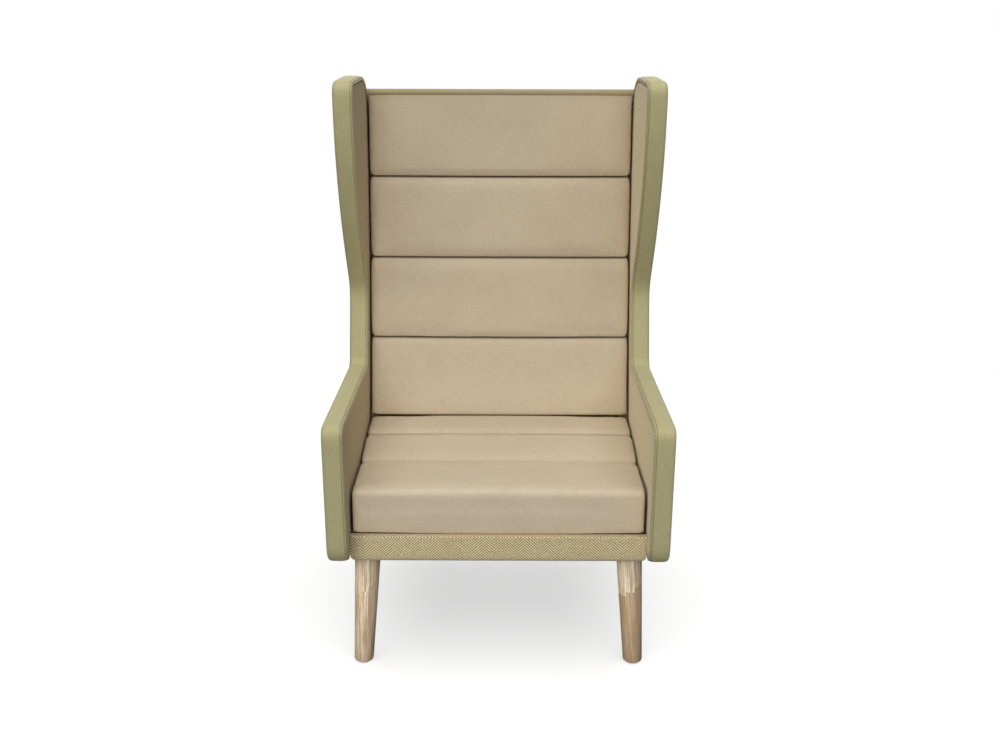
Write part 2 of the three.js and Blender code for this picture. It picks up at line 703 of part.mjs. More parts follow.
for (const { end, topDepth, footDepth, inward } of legEnds) {
  for (const { side, sign } of sides) {
    const corner = `${end}_${side}`;
    const leg = new THREE.Group();
    leg.position.set(sign * legFootX, footDepth, 0);
    chair.add(leg);
    const leanX = sign * (legTopX - legFootX) / legLength;
    const leanY = (topDepth - footDepth) / legLength;
    const lean = new THREE.Matrix4().set(
      1, 0, leanX, -leanX * legFootHeight,
      0, 1, leanY, -leanY * legFootHeight,
      0, 0, 1, 0,
      0, 0, 0, 1,
    );
    const boreRadius = legBoltRadius + boltClearance;
    const boreBottom = legTopHeight - legBoltDepth;
    addPiece(leg, `leg_${corner}`, turned([
      [0, legFootHeight],
      [legFootRadius - legFootEdge, legFootHeight],
      [legFootRadius - footEdgeSetIn, legFootHeight + footEdgeSetIn],
      [legFootRadius + legTaper * legFootEdge, legFootHeight + legFootEdge],
      [legTopRadius, legTopHeight],
      [boreRadius, legTopHeight],
      [boreRadius, boreBottom],
      [0, boreBottom],
    ], legSides).applyMatrix4(lean), oak);
    addPiece(leg, `glide_${corner}`, turned([
      [0, 0],
      [glideRadius - glideEdge, 0],
      [glideRadius, glideEdge],
      [glideRadius, glideHeight],
      [0, glideHeight],
    ], legSides), nylon);
    const bolt = (radius, low, high) => turned([
      [0, low], [radius, low], [radius, high], [0, high],
    ], boltSides).applyMatrix4(lean);
    const boltBottom = boreBottom + fitGap;
    const boltTop = legTopHeight + legBoltReach;
    addPiece(leg, `leg_bolt_${corner}`, bolt(legBoltRadius, boltBottom, boltTop), steel);

    const halfPlate = legPlateWidth / 2;
    const plate = new THREE.Shape(roundedOutline([
      { at: point(-halfPlate, -halfPlate), radius: legPlateCorner },
      { at: point(halfPlate, -halfPlate), radius: legPlateCorner },
      { at: point(halfPlate, halfPlate), radius: legPlateCorner },
      { at: point(-halfPlate, halfPlate), radius: legPlateCorner },
    ]));
    plate.holes.push(circle(0, 0, legBoltRadius + plateClearance));
    addPiece(seat, `leg_plate_${corner}`, extrudeUp(plate, legPlateThickness, boltSides), steel)
      .position.set(sign * legTopX, topDepth, plateTopHeight - legPlateThickness);

    const blockX = sign * (betweenPanels - sideRailThickness - fitGap);
    const blockDepth = inward > 0 ? sideRailFront : sideRailRear;
    const bore = bolt(legBoltRadius + boltClearance, frameBottomHeight - cutOverrun, boltTop + fitGap);
    bore.translate(sign * legFootX - blockX, footDepth - blockDepth, -frameBottomHeight);
    addPiece(seat, `corner_block_${corner}`, subtract(cornerBlock(sign, inward), bore), beech)
      .position.set(blockX, blockDepth, frameBottomHeight);
  }
}

function dustCover() {
  const front = coverReturnDepth + fitGap;
  const rear = rearRailRear;
  const sheet = new THREE.Shape([
    point(-betweenPanels, front), point(betweenPanels, front),
    point(betweenPanels, rear), point(-betweenPanels, rear),
  ]);
  for (const { topDepth } of legEnds) {
    for (const { sign } of sides) {
      sheet.holes.push(circle(sign * legTopX, topDepth, legTopRadius + legHoleClearance));
    }
  }
  return extrudeUp(sheet, dustCoverThickness, legSides);
}
addPiece(seat, 'dust_cover', dustCover(), lining).position.z = seatBoxBottomHeight + fitGap;

// Back: cushion, foam, board, posts and rails, then the outer shell, each one layer further back
const back = new THREE.Group();
chair.add(back);
addPiece(back, 'back_cushion', backCushion(), beigeFabric);

function backLayer(low, high, frontOffset, thickness) {
  const front = backHeights(low, high).map((height) => point(backFrontAt(height) + frontOffset, height));
  const rear = front.map((sample) => point(
    Math.min(sample.x + thickness, shellInnerAt(sample.y) - fitGap), sample.y,
  ));
  return [...front, ...rear.reverse()];
}

addPiece(back, 'back_foam', extrudeAcross(
  backLayer(backBottomHeight, backTopHeight - foamTopDrop, foamOffset, backFoamThickness),
  -cushionHalfWidth, cushionHalfWidth,
), foam);
addPiece(back, 'back_board', extrudeAcross(
  backLayer(backBottomHeight, boardTopHeight, boardOffset, backBoardThickness),
  -betweenPanels, betweenPanels,
), plywood);
for (const { side, sign } of sides) {
  const postInner = sign * (betweenPanels - postWidth);
  const postOuter = sign * betweenPanels;
  const post = extrudeAcross(
    backLayer(frameTopHeight + fitGap, boardTopHeight, postOffset, postThickness), postInner, postOuter,
  );
  addPiece(back, `back_post_${side}`, drillAcross(
    post, postInner, postOuter, sideBoltRadius + boltClearance, sideBolts.slice(2),
  ), beech);
}
const railHalfWidth = betweenPanels - postWidth - fitGap;
const railHeights = {
  back_rail_bottom: backBottomHeight,
  back_rail_lumbar: THREE.MathUtils.lerp(backBottomHeight, boardTopHeight, lumbarRailShare),
  back_rail_top: boardTopHeight - backRailHeight,
};
for (const [name, low] of Object.entries(railHeights)) {
  addPiece(back, name, extrudeAcross(
    backLayer(low, low + backRailHeight, postOffset, postThickness), -railHalfWidth, railHalfWidth,
  ), beech);
}

function shellOutline() {
  const shellOuterLine = offsetOutline(rearLine, shellInset, false);
  const lip = rearLine.findIndex((sample) => sample.y > shoulderHeight && sample.x < shellLipDepth);
  const share = (rearLine[lip - 1].x - shellLipDepth) / (rearLine[lip - 1].x - rearLine[lip].x);
  const upToLip = (line) => [...line.slice(0, lip), line[lip - 1].clone().lerp(line[lip], share)];
  return [...upToLip(shellOuterLine), ...upToLip(shellInnerLine).reverse()];
}
addPiece(back, 'back_shell', extrudeAcross(shellOutline(), -betweenPanels, betweenPanels), herringboneFabric);

// Bolts run outwards from the seat rails and posts into threaded inserts in the side boards
for (const { side, sign } of sides) {
  for (const { place, depth, height, headX } of sideBolts) {
    const shankEnd = boardInnerX + insertSetIn + insertLength + sideBoltOvershoot;
    const shankStart = headX - fitGap;
    const bolt = turned([
      [0, shankStart - sideBoltHeadLength],
      [sideBoltHeadRadius, shankStart - sideBoltHeadLength],
      [sideBoltHeadRadius, shankStart],
      [sideBoltRadius, shankStart],
      [sideBoltRadius, shankEnd],
      [0, shankEnd],
    ], boltSides).rotateY(sign * Math.PI / 2);
    addPiece(chair, `side_bolt_${place}_${side}`, bolt, steel).position.set(0, depth, height);
    const boreRadius = sideBoltRadius + boltClearance;
    const insert = turned([
      [boreRadius, 0], [insertRadius, 0], [insertRadius, insertLength], [boreRadius, insertLength],
      [boreRadius, 0],
    ], boltSides).rotateY(sign * Math.PI / 2);
    addPiece(chair, `threaded_insert_${place}_${side}`, insert, steel)
      .position.set(sign * (boardInnerX + insertSetIn), depth, height);
  }
}

// Stand the chair with its footprint centred on the origin
const bounds = new THREE.Box3().setFromObject(chair);
chair.position.y = -(bounds.min.y + bounds.max.y) / 2;

export default chair;
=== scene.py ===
# %% [markdown]
# # A high back lounge chair with arm-and-wing side panels
#
# This lesson dresses the solid model of an upholstered chair for a picture. The solids arrive as
# a fixed frame in metres, with Z up, the chair facing -Y and the floor at zero height. We keep
# the wood and metal parts, give them finishes, and build every padded part again in soft form.

# %% Load the frame
import math

import bmesh
import bpy
from mathutils import Matrix, Vector, noise


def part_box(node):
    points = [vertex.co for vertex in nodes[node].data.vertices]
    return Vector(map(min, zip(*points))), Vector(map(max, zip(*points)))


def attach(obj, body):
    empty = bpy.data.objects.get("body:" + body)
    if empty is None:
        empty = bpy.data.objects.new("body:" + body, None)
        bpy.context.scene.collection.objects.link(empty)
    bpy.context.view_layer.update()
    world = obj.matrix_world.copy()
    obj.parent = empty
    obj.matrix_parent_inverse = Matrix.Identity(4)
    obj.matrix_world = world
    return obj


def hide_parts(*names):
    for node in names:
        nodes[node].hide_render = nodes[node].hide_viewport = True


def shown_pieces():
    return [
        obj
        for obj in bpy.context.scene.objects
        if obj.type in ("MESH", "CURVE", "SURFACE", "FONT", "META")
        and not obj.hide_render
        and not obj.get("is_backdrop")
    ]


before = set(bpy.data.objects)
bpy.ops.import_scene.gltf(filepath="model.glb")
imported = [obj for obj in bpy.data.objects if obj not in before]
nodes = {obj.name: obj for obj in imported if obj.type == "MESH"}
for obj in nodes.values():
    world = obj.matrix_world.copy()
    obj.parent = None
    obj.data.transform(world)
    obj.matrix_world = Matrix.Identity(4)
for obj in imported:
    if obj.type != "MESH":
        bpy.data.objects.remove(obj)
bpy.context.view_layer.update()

scene = bpy.context.scene
mm = 0.001
sides = ("left", "right")

# %% [markdown]
# ## The camera
#
# The picture was taken from the height of a standing photographer's head with a normal lens,
# looking down a little. Three things fix the view: where the camera stands, how far it tips
# down, and the focal length. A tiny turn and roll copy the way a camera on a tripod is never
# quite square to its subject.

# %% Camera
camera_place = Vector((0.0075, -2.9843, 1.7994))
camera_tip = math.radians(22.75)
camera_turn = math.radians(0.11)
camera_roll = math.radians(0.15)
right_angle = math.radians(90)
lens_length = 50.64
sensor_width = 36

camera_data = bpy.data.cameras.new("picture_camera")
camera_data.lens = lens_length
camera_data.sensor_width = sensor_width
camera_data.sensor_fit = "HORIZONTAL"
camera = bpy.data.objects.new("picture_camera", camera_data)
camera.matrix_world = (
    Matrix.Translation(camera_place)
    @ Matrix.Rotation(camera_turn, 4, "Z")
    @ Matrix.Rotation(right_angle - camera_tip, 4, "X")
    @ Matrix.Rotation(camera_roll, 4, "Z")
)
scene.collection.objects.link(camera)
scene.camera = camera
print("camera at", tuple(camera_place))

# %% [markdown]
# ## Small helpers for materials
#
# A material is a graph of nodes. Typing every link by hand is slow to read, so a few helpers do
# it: one starts a material, one adds a node and fills its sockets, one adds a sum, one mixes two
# colours, one spreads a value from one range to another, one makes cloudy noise of a real size,
# one stretches a pattern and one darkens a colour. A socket value may be a number or the output
# of another node. The Mix node has several sockets of the same name, so those for colours are
# picked by their number. The last helper links colour, roughness and relief to the shader, which
# every finish here needs.
#
# Colours are written as they look on a screen, from 0 to 255, and turned into the linear values
# that the renderer counts in.

# %% Material helpers
mix_sockets = (0, 6, 7)
mix_output = 2
cloud_detail = 3
cloud_roughness = 0.55


def new_finish(name):
    finish = bpy.data.materials.new(name)
    finish.use_nodes = True
    return finish, finish.node_tree, finish.node_tree.nodes["Principled BSDF"]


def fill_socket(tree, socket, value):
    if isinstance(value, bpy.types.NodeSocket):
        tree.links.new(value, socket)
    else:
        socket.default_value = value


def add_node(tree, kind, sockets=None, **settings):
    made = tree.nodes.new(kind)
    for name, value in settings.items():
        setattr(made, name, value)
    for name, value in (sockets or {}).items():
        fill_socket(tree, made.inputs[name], value)
    return made


def sum_of(tree, operation, *values, clamp=False):
    made = add_node(tree, "ShaderNodeMath", operation=operation, use_clamp=clamp)
    for place, value in enumerate(values):
        fill_socket(tree, made.inputs[place], value)
    return made.outputs[0]


def mixed_colour(tree, share, first, second, blend="MIX"):
    made = add_node(tree, "ShaderNodeMix", data_type="RGBA", blend_type=blend)
    for place, value in zip(mix_sockets, (share, first, second)):
        fill_socket(tree, made.inputs[place], value)
    return made.outputs[mix_output]


def spread(tree, value, low, high, to_low=0, to_high=1):
    return add_node(tree, "ShaderNodeMapRange", {
        "Value": value, "From Min": low, "From Max": high, "To Min": to_low, "To Max": to_high,
    }).outputs["Result"]


def cloudy(tree, where, size, detail=cloud_detail, roughness=cloud_roughness):
    return add_node(tree, "ShaderNodeTexNoise", {
        "Vector": where, "Scale": 1 / size, "Detail": detail, "Roughness": roughness,
    }).outputs["Fac"]


def stretched_place(tree, place, scale):
    return add_node(tree, "ShaderNodeMapping", {"Vector": place, "Scale": scale}).outputs["Vector"]


def grey_of(tree, value):
    return add_node(tree, "ShaderNodeCombineColor", {
        "Red": value, "Green": value, "Blue": value,
    }).outputs["Color"]


def shaded(tree, tone, shade):
    return mixed_colour(tree, 1.0, tone, grey_of(tree, shade), "MULTIPLY")


def link_surface(tree, shader, tone, rough, height, relief, relief_share):
    bump = add_node(tree, "ShaderNodeBump", {
        "Height": height, "Distance": relief, "Strength": relief_share,
    })
    tree.links.new(tone, shader.inputs["Base Color"])
    tree.links.new(rough, shader.inputs["Roughness"])
    tree.links.new(bump.outputs["Normal"], shader.inputs["Normal"])


print("noise has", cloud_detail, "levels of detail where nothing else is said")


# %% Screen colours
screen_levels = 255
dark_end_share = 0.04045
dark_slope = 12.92
curve_offset_share = 0.055
curve_power = 2.4


def linear_share(level):
    share = level / screen_levels
    if share <= dark_end_share:
        return share / dark_slope
    return ((share + curve_offset_share) / (1 + curve_offset_share)) ** curve_power


def colour(red, green, blue):
    return (linear_share(red), linear_share(green), linear_share(blue), 1)


print("middle grey of a screen, in linear light:", round(linear_share(screen_levels / 2), 3))

# %% [markdown]
# ## Seams in cloth
#
# Where two pieces of cloth are sewn together they dip, and shade falls in the fold. A real shadow
# would need folds finer than our mesh, so a thin line of painted shade darkens the colour there.
# Straight seams of the cushions are found by their distance on one axis. The seams of the side
# panels follow a curve, so there the mesh carries the painted shade as an attribute, seam_shade.

# %% Seam shading
# Painted shade: the colour of the dark line in a seam, its core and how far it fades.
painted_shade_colour = colour(84, 70, 48)
painted_shade_core = 0.9 * mm
painted_shade_fade = 3.2 * mm
painted_shade_most = 0.62
seam_shade_share = 0.75
far_off = 1.0


def cloth_map(tree):
    return add_node(tree, "ShaderNodeUVMap", uv_map="cloth").outputs["UV"]


def object_place(tree):
    return add_node(tree, "ShaderNodeTexCoord").outputs["Object"]


def split(tree, vector):
    parts = add_node(tree, "ShaderNodeSeparateXYZ", {"Vector": vector})
    return parts.outputs["X"], parts.outputs["Y"], parts.outputs["Z"]


# Painted shade: a thin dark line along each straight seam of a cushion.
def painted_crease_shade(tree, place, axis, seams):
    along = split(tree, place)[axis]
    nearest = far_off
    for seam in seams:
        off = sum_of(tree, "ABSOLUTE", sum_of(tree, "SUBTRACT", along, seam))
        nearest = sum_of(tree, "MINIMUM", off, nearest)
    return spread(tree, nearest, painted_shade_core, painted_shade_fade, painted_shade_most, 0)


# Painted shade in the seams of the side panels, read from the seam_shade attribute.
def with_painted_seam_shade(tree, tone):
    shade = add_node(tree, "ShaderNodeAttribute", attribute_name="seam_shade").outputs["Fac"]
    return mixed_colour(tree, sum_of(tree, "MULTIPLY", shade, seam_shade_share), tone, painted_shade_colour)


# The painted seam shade fades out over this distance.
print("a seam's dark line fades out", painted_shade_fade / mm, "mm from the seam")

# %% [markdown]
# ## Plain woven cloth
#
# The cushions and the edge bands wear a smooth plain weave. Up close it is a grid of threads
# that pass over and under each other, and from a step back it is a soft colour with faint slubs.
# The threads come from two sine waves on the piece's own cloth map, which is laid in metres, so
# a thread has its real width on every piece. Noise at three sizes keeps the colour alive, and a
# little sheen stands for the fine fuzz that catches light at the edges.

# %% Plain cloth
thread_pitch = 1.1 * mm
slub_size = 3.2 * mm
wobble_size = 2 * slub_size
patch_size = 90 * mm
fuzz_size = 0.8 * mm
thread_relief = 0.22 * mm
thread_relief_share = 0.6
slub_stretch = 7
slub_detail = 2
patch_detail = 4
slub_mix_share = 0.5
slub_shares = (0.36, 0.64)
base_share = 0.5
light_patch_shares = (0.35, 0.65, 0, 0.35)
thread_shade_shares = (0, 1, 0.9, 1.04)
cloth_rough_shares = (0.3, 0.7, 0.82, 0.98)
weave_height_share = 0.45
slub_height_share = 0.9
fuzz_height_share = 0.35
plain_sheen_share = 0.12
sheen_rough_share = 0.5
cloth_gloss_share = 0.25
full_turn = 2 * math.pi


def wave(tree, place, pitch):
    return sum_of(tree, "SINE", sum_of(tree, "MULTIPLY", place, full_turn / pitch))


def cloth_shine(shader, sheen):
    shader.inputs["Sheen Weight"].default_value = sheen
    shader.inputs["Sheen Roughness"].default_value = sheen_rough_share
    shader.inputs["Specular IOR Level"].default_value = cloth_gloss_share


def plain_weave(tree, cloth, place):
    across, along, _ = split(tree, cloth)
    wobble = sum_of(tree, "MULTIPLY", cloudy(tree, place, wobble_size), thread_pitch)
    warp = wave(tree, sum_of(tree, "ADD", across, wobble), thread_pitch)
    weft = wave(tree, sum_of(tree, "ADD", along, wobble), thread_pitch)
    return spread(tree, sum_of(tree, "MULTIPLY", warp, weft), -1, 1)


def slubs_of(tree, cloth):
    long_slub = stretched_place(tree, cloth, (1 / slub_stretch, 1, 1))
    tall_slub = stretched_place(tree, cloth, (1, 1 / slub_stretch, 1))
    long_part, tall_part = (
        sum_of(tree, "MULTIPLY", cloudy(tree, slub, slub_size, slub_detail), slub_mix_share)
        for slub in (long_slub, tall_slub)
    )
    return sum_of(tree, "ADD", long_part, tall_part)


def plain_cloth(name, base, light, dark, painted_creases=None):
    finish, tree, shader = new_finish(name)
    cloth = cloth_map(tree)
    place = object_place(tree)
    weave = plain_weave(tree, cloth, place)
    slubs = slubs_of(tree, cloth)
    patches = cloudy(tree, place, patch_size, patch_detail)
    tone = mixed_colour(tree, spread(tree, slubs, *slub_shares), dark, light)
    tone = mixed_colour(tree, base_share, tone, base)
    tone = mixed_colour(tree, spread(tree, patches, *light_patch_shares), tone, light)
    tone = shaded(tree, tone, spread(tree, weave, *thread_shade_shares))
    # Painted shade along seams: from the panels' seam_shade attribute, and along a cushion's straight
    # seams.
    tone = with_painted_seam_shade(tree, tone)
    if painted_creases:
        tone = mixed_colour(tree, painted_crease_shade(tree, place, *painted_creases), tone, painted_shade_colour)
    fine = cloudy(tree, place, fuzz_size, slub_detail)
    rough = spread(tree, fine, *cloth_rough_shares)
    fuzz_height = sum_of(tree, "MULTIPLY", fine, fuzz_height_share)
    slub_height = sum_of(tree, "MULTIPLY_ADD", slubs, slub_height_share, fuzz_height)
    height = sum_of(tree, "MULTIPLY_ADD", weave, weave_height_share, slub_height)
    link_surface(tree, shader, tone, rough, height, thread_relief, thread_relief_share)
    cloth_shine(shader, plain_sheen_share)
    return finish


# %% The plain cloths of this chair
back_seams = (0.5621, 0.7475, 0.9375)
seat_seams = (-0.1272, 0.0328)
cushion_colours = (colour(212, 195, 168), colour(222, 206, 180), colour(201, 184, 157))
band_colours = (colour(194, 186, 140), colour(205, 198, 152), colour(181, 172, 127))
# The cushion cloths get painted shade along their seams.
back_cushion_cloth = plain_cloth("back_cushion_fabric", *cushion_colours, painted_creases=(2, back_seams))
seat_cushion_cloth = plain_cloth("seat_cushion_fabric", *cushion_colours, painted_creases=(1, seat_seams))
band_cloth = plain_cloth("band_fabric", *band_colours)
print("plain cloths:", back_cushion_cloth.name, seat_cushion_cloth.name, band_cloth.name)

# %% [markdown]
# ## Herringbone cloth
#
# The faces of the side panels, the front rail and the back shell wear herringbone: upright
# columns of slanting ribs that change direction from one column to the next, with a small break
# where two columns meet. A ping-pong node folds the distance across the cloth into the zigzag,
# and a sine of the folded distance plus the height gives the ribs. Each rib is crossed by fine
# threads and frayed by noise, so that it reads as yarn and not as a printed stripe. The front
# rail and the back shell wear a cut of the same cloth with a little more contrast.

# %% Herringbone
column_width = 23 * mm
rib_pitch = 6.6 * mm
rib_wander = rib_pitch / 2
rib_thread_pitch = 1.4 * mm
yarn_size = 2.4 * mm
wander_size = 3 * yarn_size
rib_relief = 0.5 * mm
rib_relief_share = 0.7
rib_slope = 1.0
half_step = math.pi
cloth_shift = 1.0
noise_middle_share = 0.5
rib_edge_shares = (-0.55, 0.75)
fray_share = 1.5
middle_tone_share = 0.12
middle_patch_shares = (0.35, 0.65, 0, 0.3)
rib_shade_shares = (0, 1, 0.86, 1.06)
rib_height_share = 0.8
rib_thread_height_share = 0.25
rib_sheen_share = 0.2


def centred(tree, noise_value):
    return sum_of(tree, "SUBTRACT", noise_value, noise_middle_share)


def ribs_and_threads(tree, cloth, place):
    across, along, _ = split(tree, cloth)
    shifted = sum_of(tree, "ADD", across, cloth_shift)
    folded = sum_of(tree, "PINGPONG", shifted, column_width)
    column = sum_of(tree, "FLOOR", sum_of(tree, "DIVIDE", shifted, column_width))
    wander = sum_of(tree, "MULTIPLY", centred(tree, cloudy(tree, place, wander_size)), rib_wander)
    slanted = sum_of(tree, "MULTIPLY_ADD", folded, rib_slope, along)
    slanted = sum_of(tree, "ADD", slanted, wander)
    breaking = sum_of(tree, "MULTIPLY", column, half_step)
    rib = sum_of(tree, "SINE", sum_of(tree, "MULTIPLY_ADD", slanted, full_turn / rib_pitch, breaking))
    counter = sum_of(tree, "SUBTRACT", along, sum_of(tree, "MULTIPLY", folded, rib_slope))
    threads = spread(tree, wave(tree, counter, rib_thread_pitch), -1, 1)
    return spread(tree, rib, *rib_edge_shares), threads


def herringbone_cloth(name, cream, olive, middle):
    finish, tree, shader = new_finish(name)
    place = object_place(tree)
    rib_share, threads = ribs_and_threads(tree, cloth_map(tree), place)
    yarn = cloudy(tree, place, yarn_size)
    frayed = sum_of(tree, "MULTIPLY_ADD", centred(tree, yarn), fray_share, rib_share, clamp=True)
    tone = mixed_colour(tree, frayed, olive, cream)
    tone = mixed_colour(tree, middle_tone_share, tone, middle)
    patches = cloudy(tree, place, patch_size, patch_detail)
    tone = mixed_colour(tree, spread(tree, patches, *middle_patch_shares), tone, middle)
    tone = shaded(tree, tone, spread(tree, threads, *rib_shade_shares))
    # Painted shade along the panel seams, from the seam_shade attribute.
    tone = with_painted_seam_shade(tree, tone)
    rough = spread(tree, yarn, *cloth_rough_shares)
    thread_height = sum_of(tree, "MULTIPLY", threads, rib_thread_height_share)
    height = sum_of(tree, "MULTIPLY_ADD", rib_share, rib_height_share, thread_height)
    link_surface(tree, shader, tone, rough, height, rib_relief, rib_relief_share)
    cloth_shine(shader, rib_sheen_share)
    return finish


herringbone = herringbone_cloth(
    "panel_herringbone", colour(232, 216, 172), colour(140, 122, 86), colour(196, 179, 138),
)
rail_herringbone = herringbone_cloth(
    "rail_herringbone", colour(234, 221, 179), colour(112, 94, 61), colour(177, 160, 120),
)
print("herringbone columns", column_width / mm, "mm wide, ribs", rib_pitch / mm, "mm apart")

# %% [markdown]
# ## Laminated oak
#
# Each leg is turned from a block glued up from staves, and every stave is itself two pieces end
# to end. On the finished leg that shows as upright bands of slightly different wood with a
# short step where the end joints fall. The leg carries its own coordinates in an attribute, so
# the grain runs along each leaning leg. Stretched noise draws the grain lines and the pores.
# Each board has a number of its own, which moves its grain and picks its tone, and a second
# attribute says how dark the lower boards of each leg are. The staves on one side of each block
# are darker as well: the wood's own tone, and on the front legs, where they face away from the
# light, painted shade too.

# %% Oak
stave_width = 19 * mm
stave_shift = 8.5 * mm
joint_height = 178 * mm
joint_step = 11 * mm
grain_size = 4 * mm
figure_size = 5 * grain_size
pore_size = 1.1 * mm
wood_relief = 0.25 * mm
wood_relief_share = 0.5
grain_stretch = 26
upper_board_number = 7.3
stave_number = 3.7
ring_detail = 5
ring_noise_share = 0.65
pore_detail = 2
pore_noise_share = 0.6
figure_bend = 9
ring_shares = (0.44, 0.6)
figure_share = 0.3
board_tone_share = 0.24
side_stave_and_painted_shade_share = 0.4
pore_shares = (0.56, 0.7, 0, 0.6)
wood_rough_shares = (0.3, 0.7, 0.42, 0.58)
wood_gloss_share = 0.4
pale_oak, brown_oak = colour(240, 228, 200), colour(184, 153, 118)
figure_oak, low_oak = colour(168, 138, 102), colour(158, 126, 86)
pinkish_oak, pore_oak = colour(146, 122, 104), colour(120, 92, 64)


def staves_of(tree, wood):
    across, _, height = split(tree, wood)
    shifted = sum_of(tree, "ADD", across, stave_shift)
    stave = sum_of(tree, "FLOOR", sum_of(tree, "DIVIDE", shifted, stave_width))
    every_other = sum_of(tree, "MODULO", stave, 2)
    joint = sum_of(tree, "MULTIPLY_ADD", every_other, joint_step, joint_height)
    return stave, sum_of(tree, "GREATER_THAN", height, joint)


def board_place(tree, wood, board):
    own_place = add_node(tree, "ShaderNodeCombineXYZ", {"X": board, "Y": board}).outputs["Vector"]
    moved = add_node(tree, "ShaderNodeVectorMath", {0: wood, 1: own_place}, operation="ADD")
    return stretched_place(tree, moved.outputs["Vector"], (1, 1, 1 / grain_stretch))


def oak_wood(name):
    finish, tree, shader = new_finish(name)
    wood = add_node(tree, "ShaderNodeAttribute", attribute_name="wood").outputs["Vector"]
    low_tone = add_node(tree, "ShaderNodeAttribute", attribute_name="low_board_tone").outputs["Fac"]
    stave, above = staves_of(tree, wood)
    stave_part = sum_of(tree, "MULTIPLY", stave, stave_number)
    board = sum_of(tree, "MULTIPLY_ADD", above, upper_board_number, stave_part)
    board_noise = add_node(tree, "ShaderNodeTexWhiteNoise", {"W": board}, noise_dimensions="1D")
    stretched = board_place(tree, wood, board)
    rings = cloudy(tree, stretched, grain_size, ring_detail, ring_noise_share)
    pores = cloudy(tree, stretched, pore_size, pore_detail, pore_noise_share)
    figure = add_node(tree, "ShaderNodeTexWave", {
        "Vector": stretched, "Scale": 1 / figure_size, "Distortion": figure_bend,
        "Detail": cloud_detail,
    }).outputs["Fac"]
    tone = mixed_colour(tree, spread(tree, rings, *ring_shares), pale_oak, brown_oak)
    tone = mixed_colour(tree, sum_of(tree, "MULTIPLY", figure, figure_share), tone, figure_oak)
    below = sum_of(tree, "SUBTRACT", 1.0, above)
    tone = mixed_colour(tree, sum_of(tree, "MULTIPLY", below, low_tone), tone, low_oak)
    # Darker staves: their own tone, and on the front legs, facing away from the light, painted shade
    # too.
    side_stave_and_painted_shade = sum_of(tree, "GREATER_THAN", stave, 0)
    own_tone = sum_of(tree, "MULTIPLY", board_noise.outputs["Value"], board_tone_share)
    pink_share = sum_of(tree, "MULTIPLY_ADD", side_stave_and_painted_shade, side_stave_and_painted_shade_share, own_tone)
    tone = mixed_colour(tree, pink_share, tone, pinkish_oak)
    tone = mixed_colour(tree, spread(tree, pores, *pore_shares), tone, pore_oak)
    rough = spread(tree, rings, *wood_rough_shares)
    height = sum_of(tree, "SUBTRACT", rings, pores)
    link_surface(tree, shader, tone, rough, height, wood_relief, wood_relief_share)
    shader.inputs["Specular IOR Level"].default_value = wood_gloss_share
    return finish


leg_oak = oak_wood("leg_wood")
print("oak staves", stave_width / mm, "mm wide")

# %% [markdown]
# ## Straight grained woods of the hidden frame
#
# The frame inside is plain workshop stuff, with beech rails and plywood boards. Nobody sees most
# of it, but a model that can be taken apart should look right inside too. One function makes
# these woods: noise stretched along the grain for the lines, finer noise for the flecks, and for
# plywood a slow wave that shows its layers at the cut edges.

# %% Frame woods
beech_grain = 3 * mm
fleck_size = 1.6 * mm
veneer_thickness = 1.4 * mm
ply_pitch = 2 * veneer_thickness
sawn_relief = 0.2 * mm
sawn_relief_share = 0.4
sawn_noise_share = 0.6
beech_tone_shares = (0.35, 0.65)
fleck_shares = (0.6, 0.72, 0, 0.4)
ply_shares = (-0.3, 0.3, 0, 0.35)
sawn_rough_shares = (0.3, 0.7, 0.5, 0.7)
beech_colours = (colour(222, 188, 146), colour(190, 150, 106))
plywood_colours = (colour(216, 184, 138), colour(172, 132, 88))


def straight_wood(name, pale, brown, along_axis, layered=False):
    finish, tree, shader = new_finish(name)
    place = object_place(tree)
    scale = [1, 1, 1]
    scale[along_axis] = 1 / grain_stretch
    stretched = stretched_place(tree, place, scale)
    grain = cloudy(tree, stretched, beech_grain, ring_detail, sawn_noise_share)
    flecks = cloudy(tree, stretched, fleck_size, pore_detail)
    tone = mixed_colour(tree, spread(tree, grain, *beech_tone_shares), pale, brown)
    tone = mixed_colour(tree, spread(tree, flecks, *fleck_shares), tone, brown)
    if layered:
        across, _, _ = split(tree, place)
        plies = spread(tree, wave(tree, across, ply_pitch), *ply_shares)
        tone = mixed_colour(tree, plies, tone, brown)
    rough = spread(tree, grain, *sawn_rough_shares)
    link_surface(tree, shader, tone, rough, grain, sawn_relief, sawn_relief_share)
    return finish


beech_across, beech_along, beech_upright = (
    straight_wood(f"beech_{way}", *beech_colours, axis)
    for axis, way in enumerate(("across", "along", "upright"))
)
plywood = straight_wood("plywood", *plywood_colours, 2, layered=True)
print("frame woods:", beech_across.name, beech_along.name, beech_upright.name, plywood.name)

# %% [markdown]
# ## Metal, nylon, foam, webbing and lining
#
# Zinc plated bolts, nylon glides, dark foam, elastic webbing and the black lining under the seat
# all have a fine grain and slow patches, and differ in its size, its relief and how much they
# shine. So one function serves them all, and later the sewing thread too.

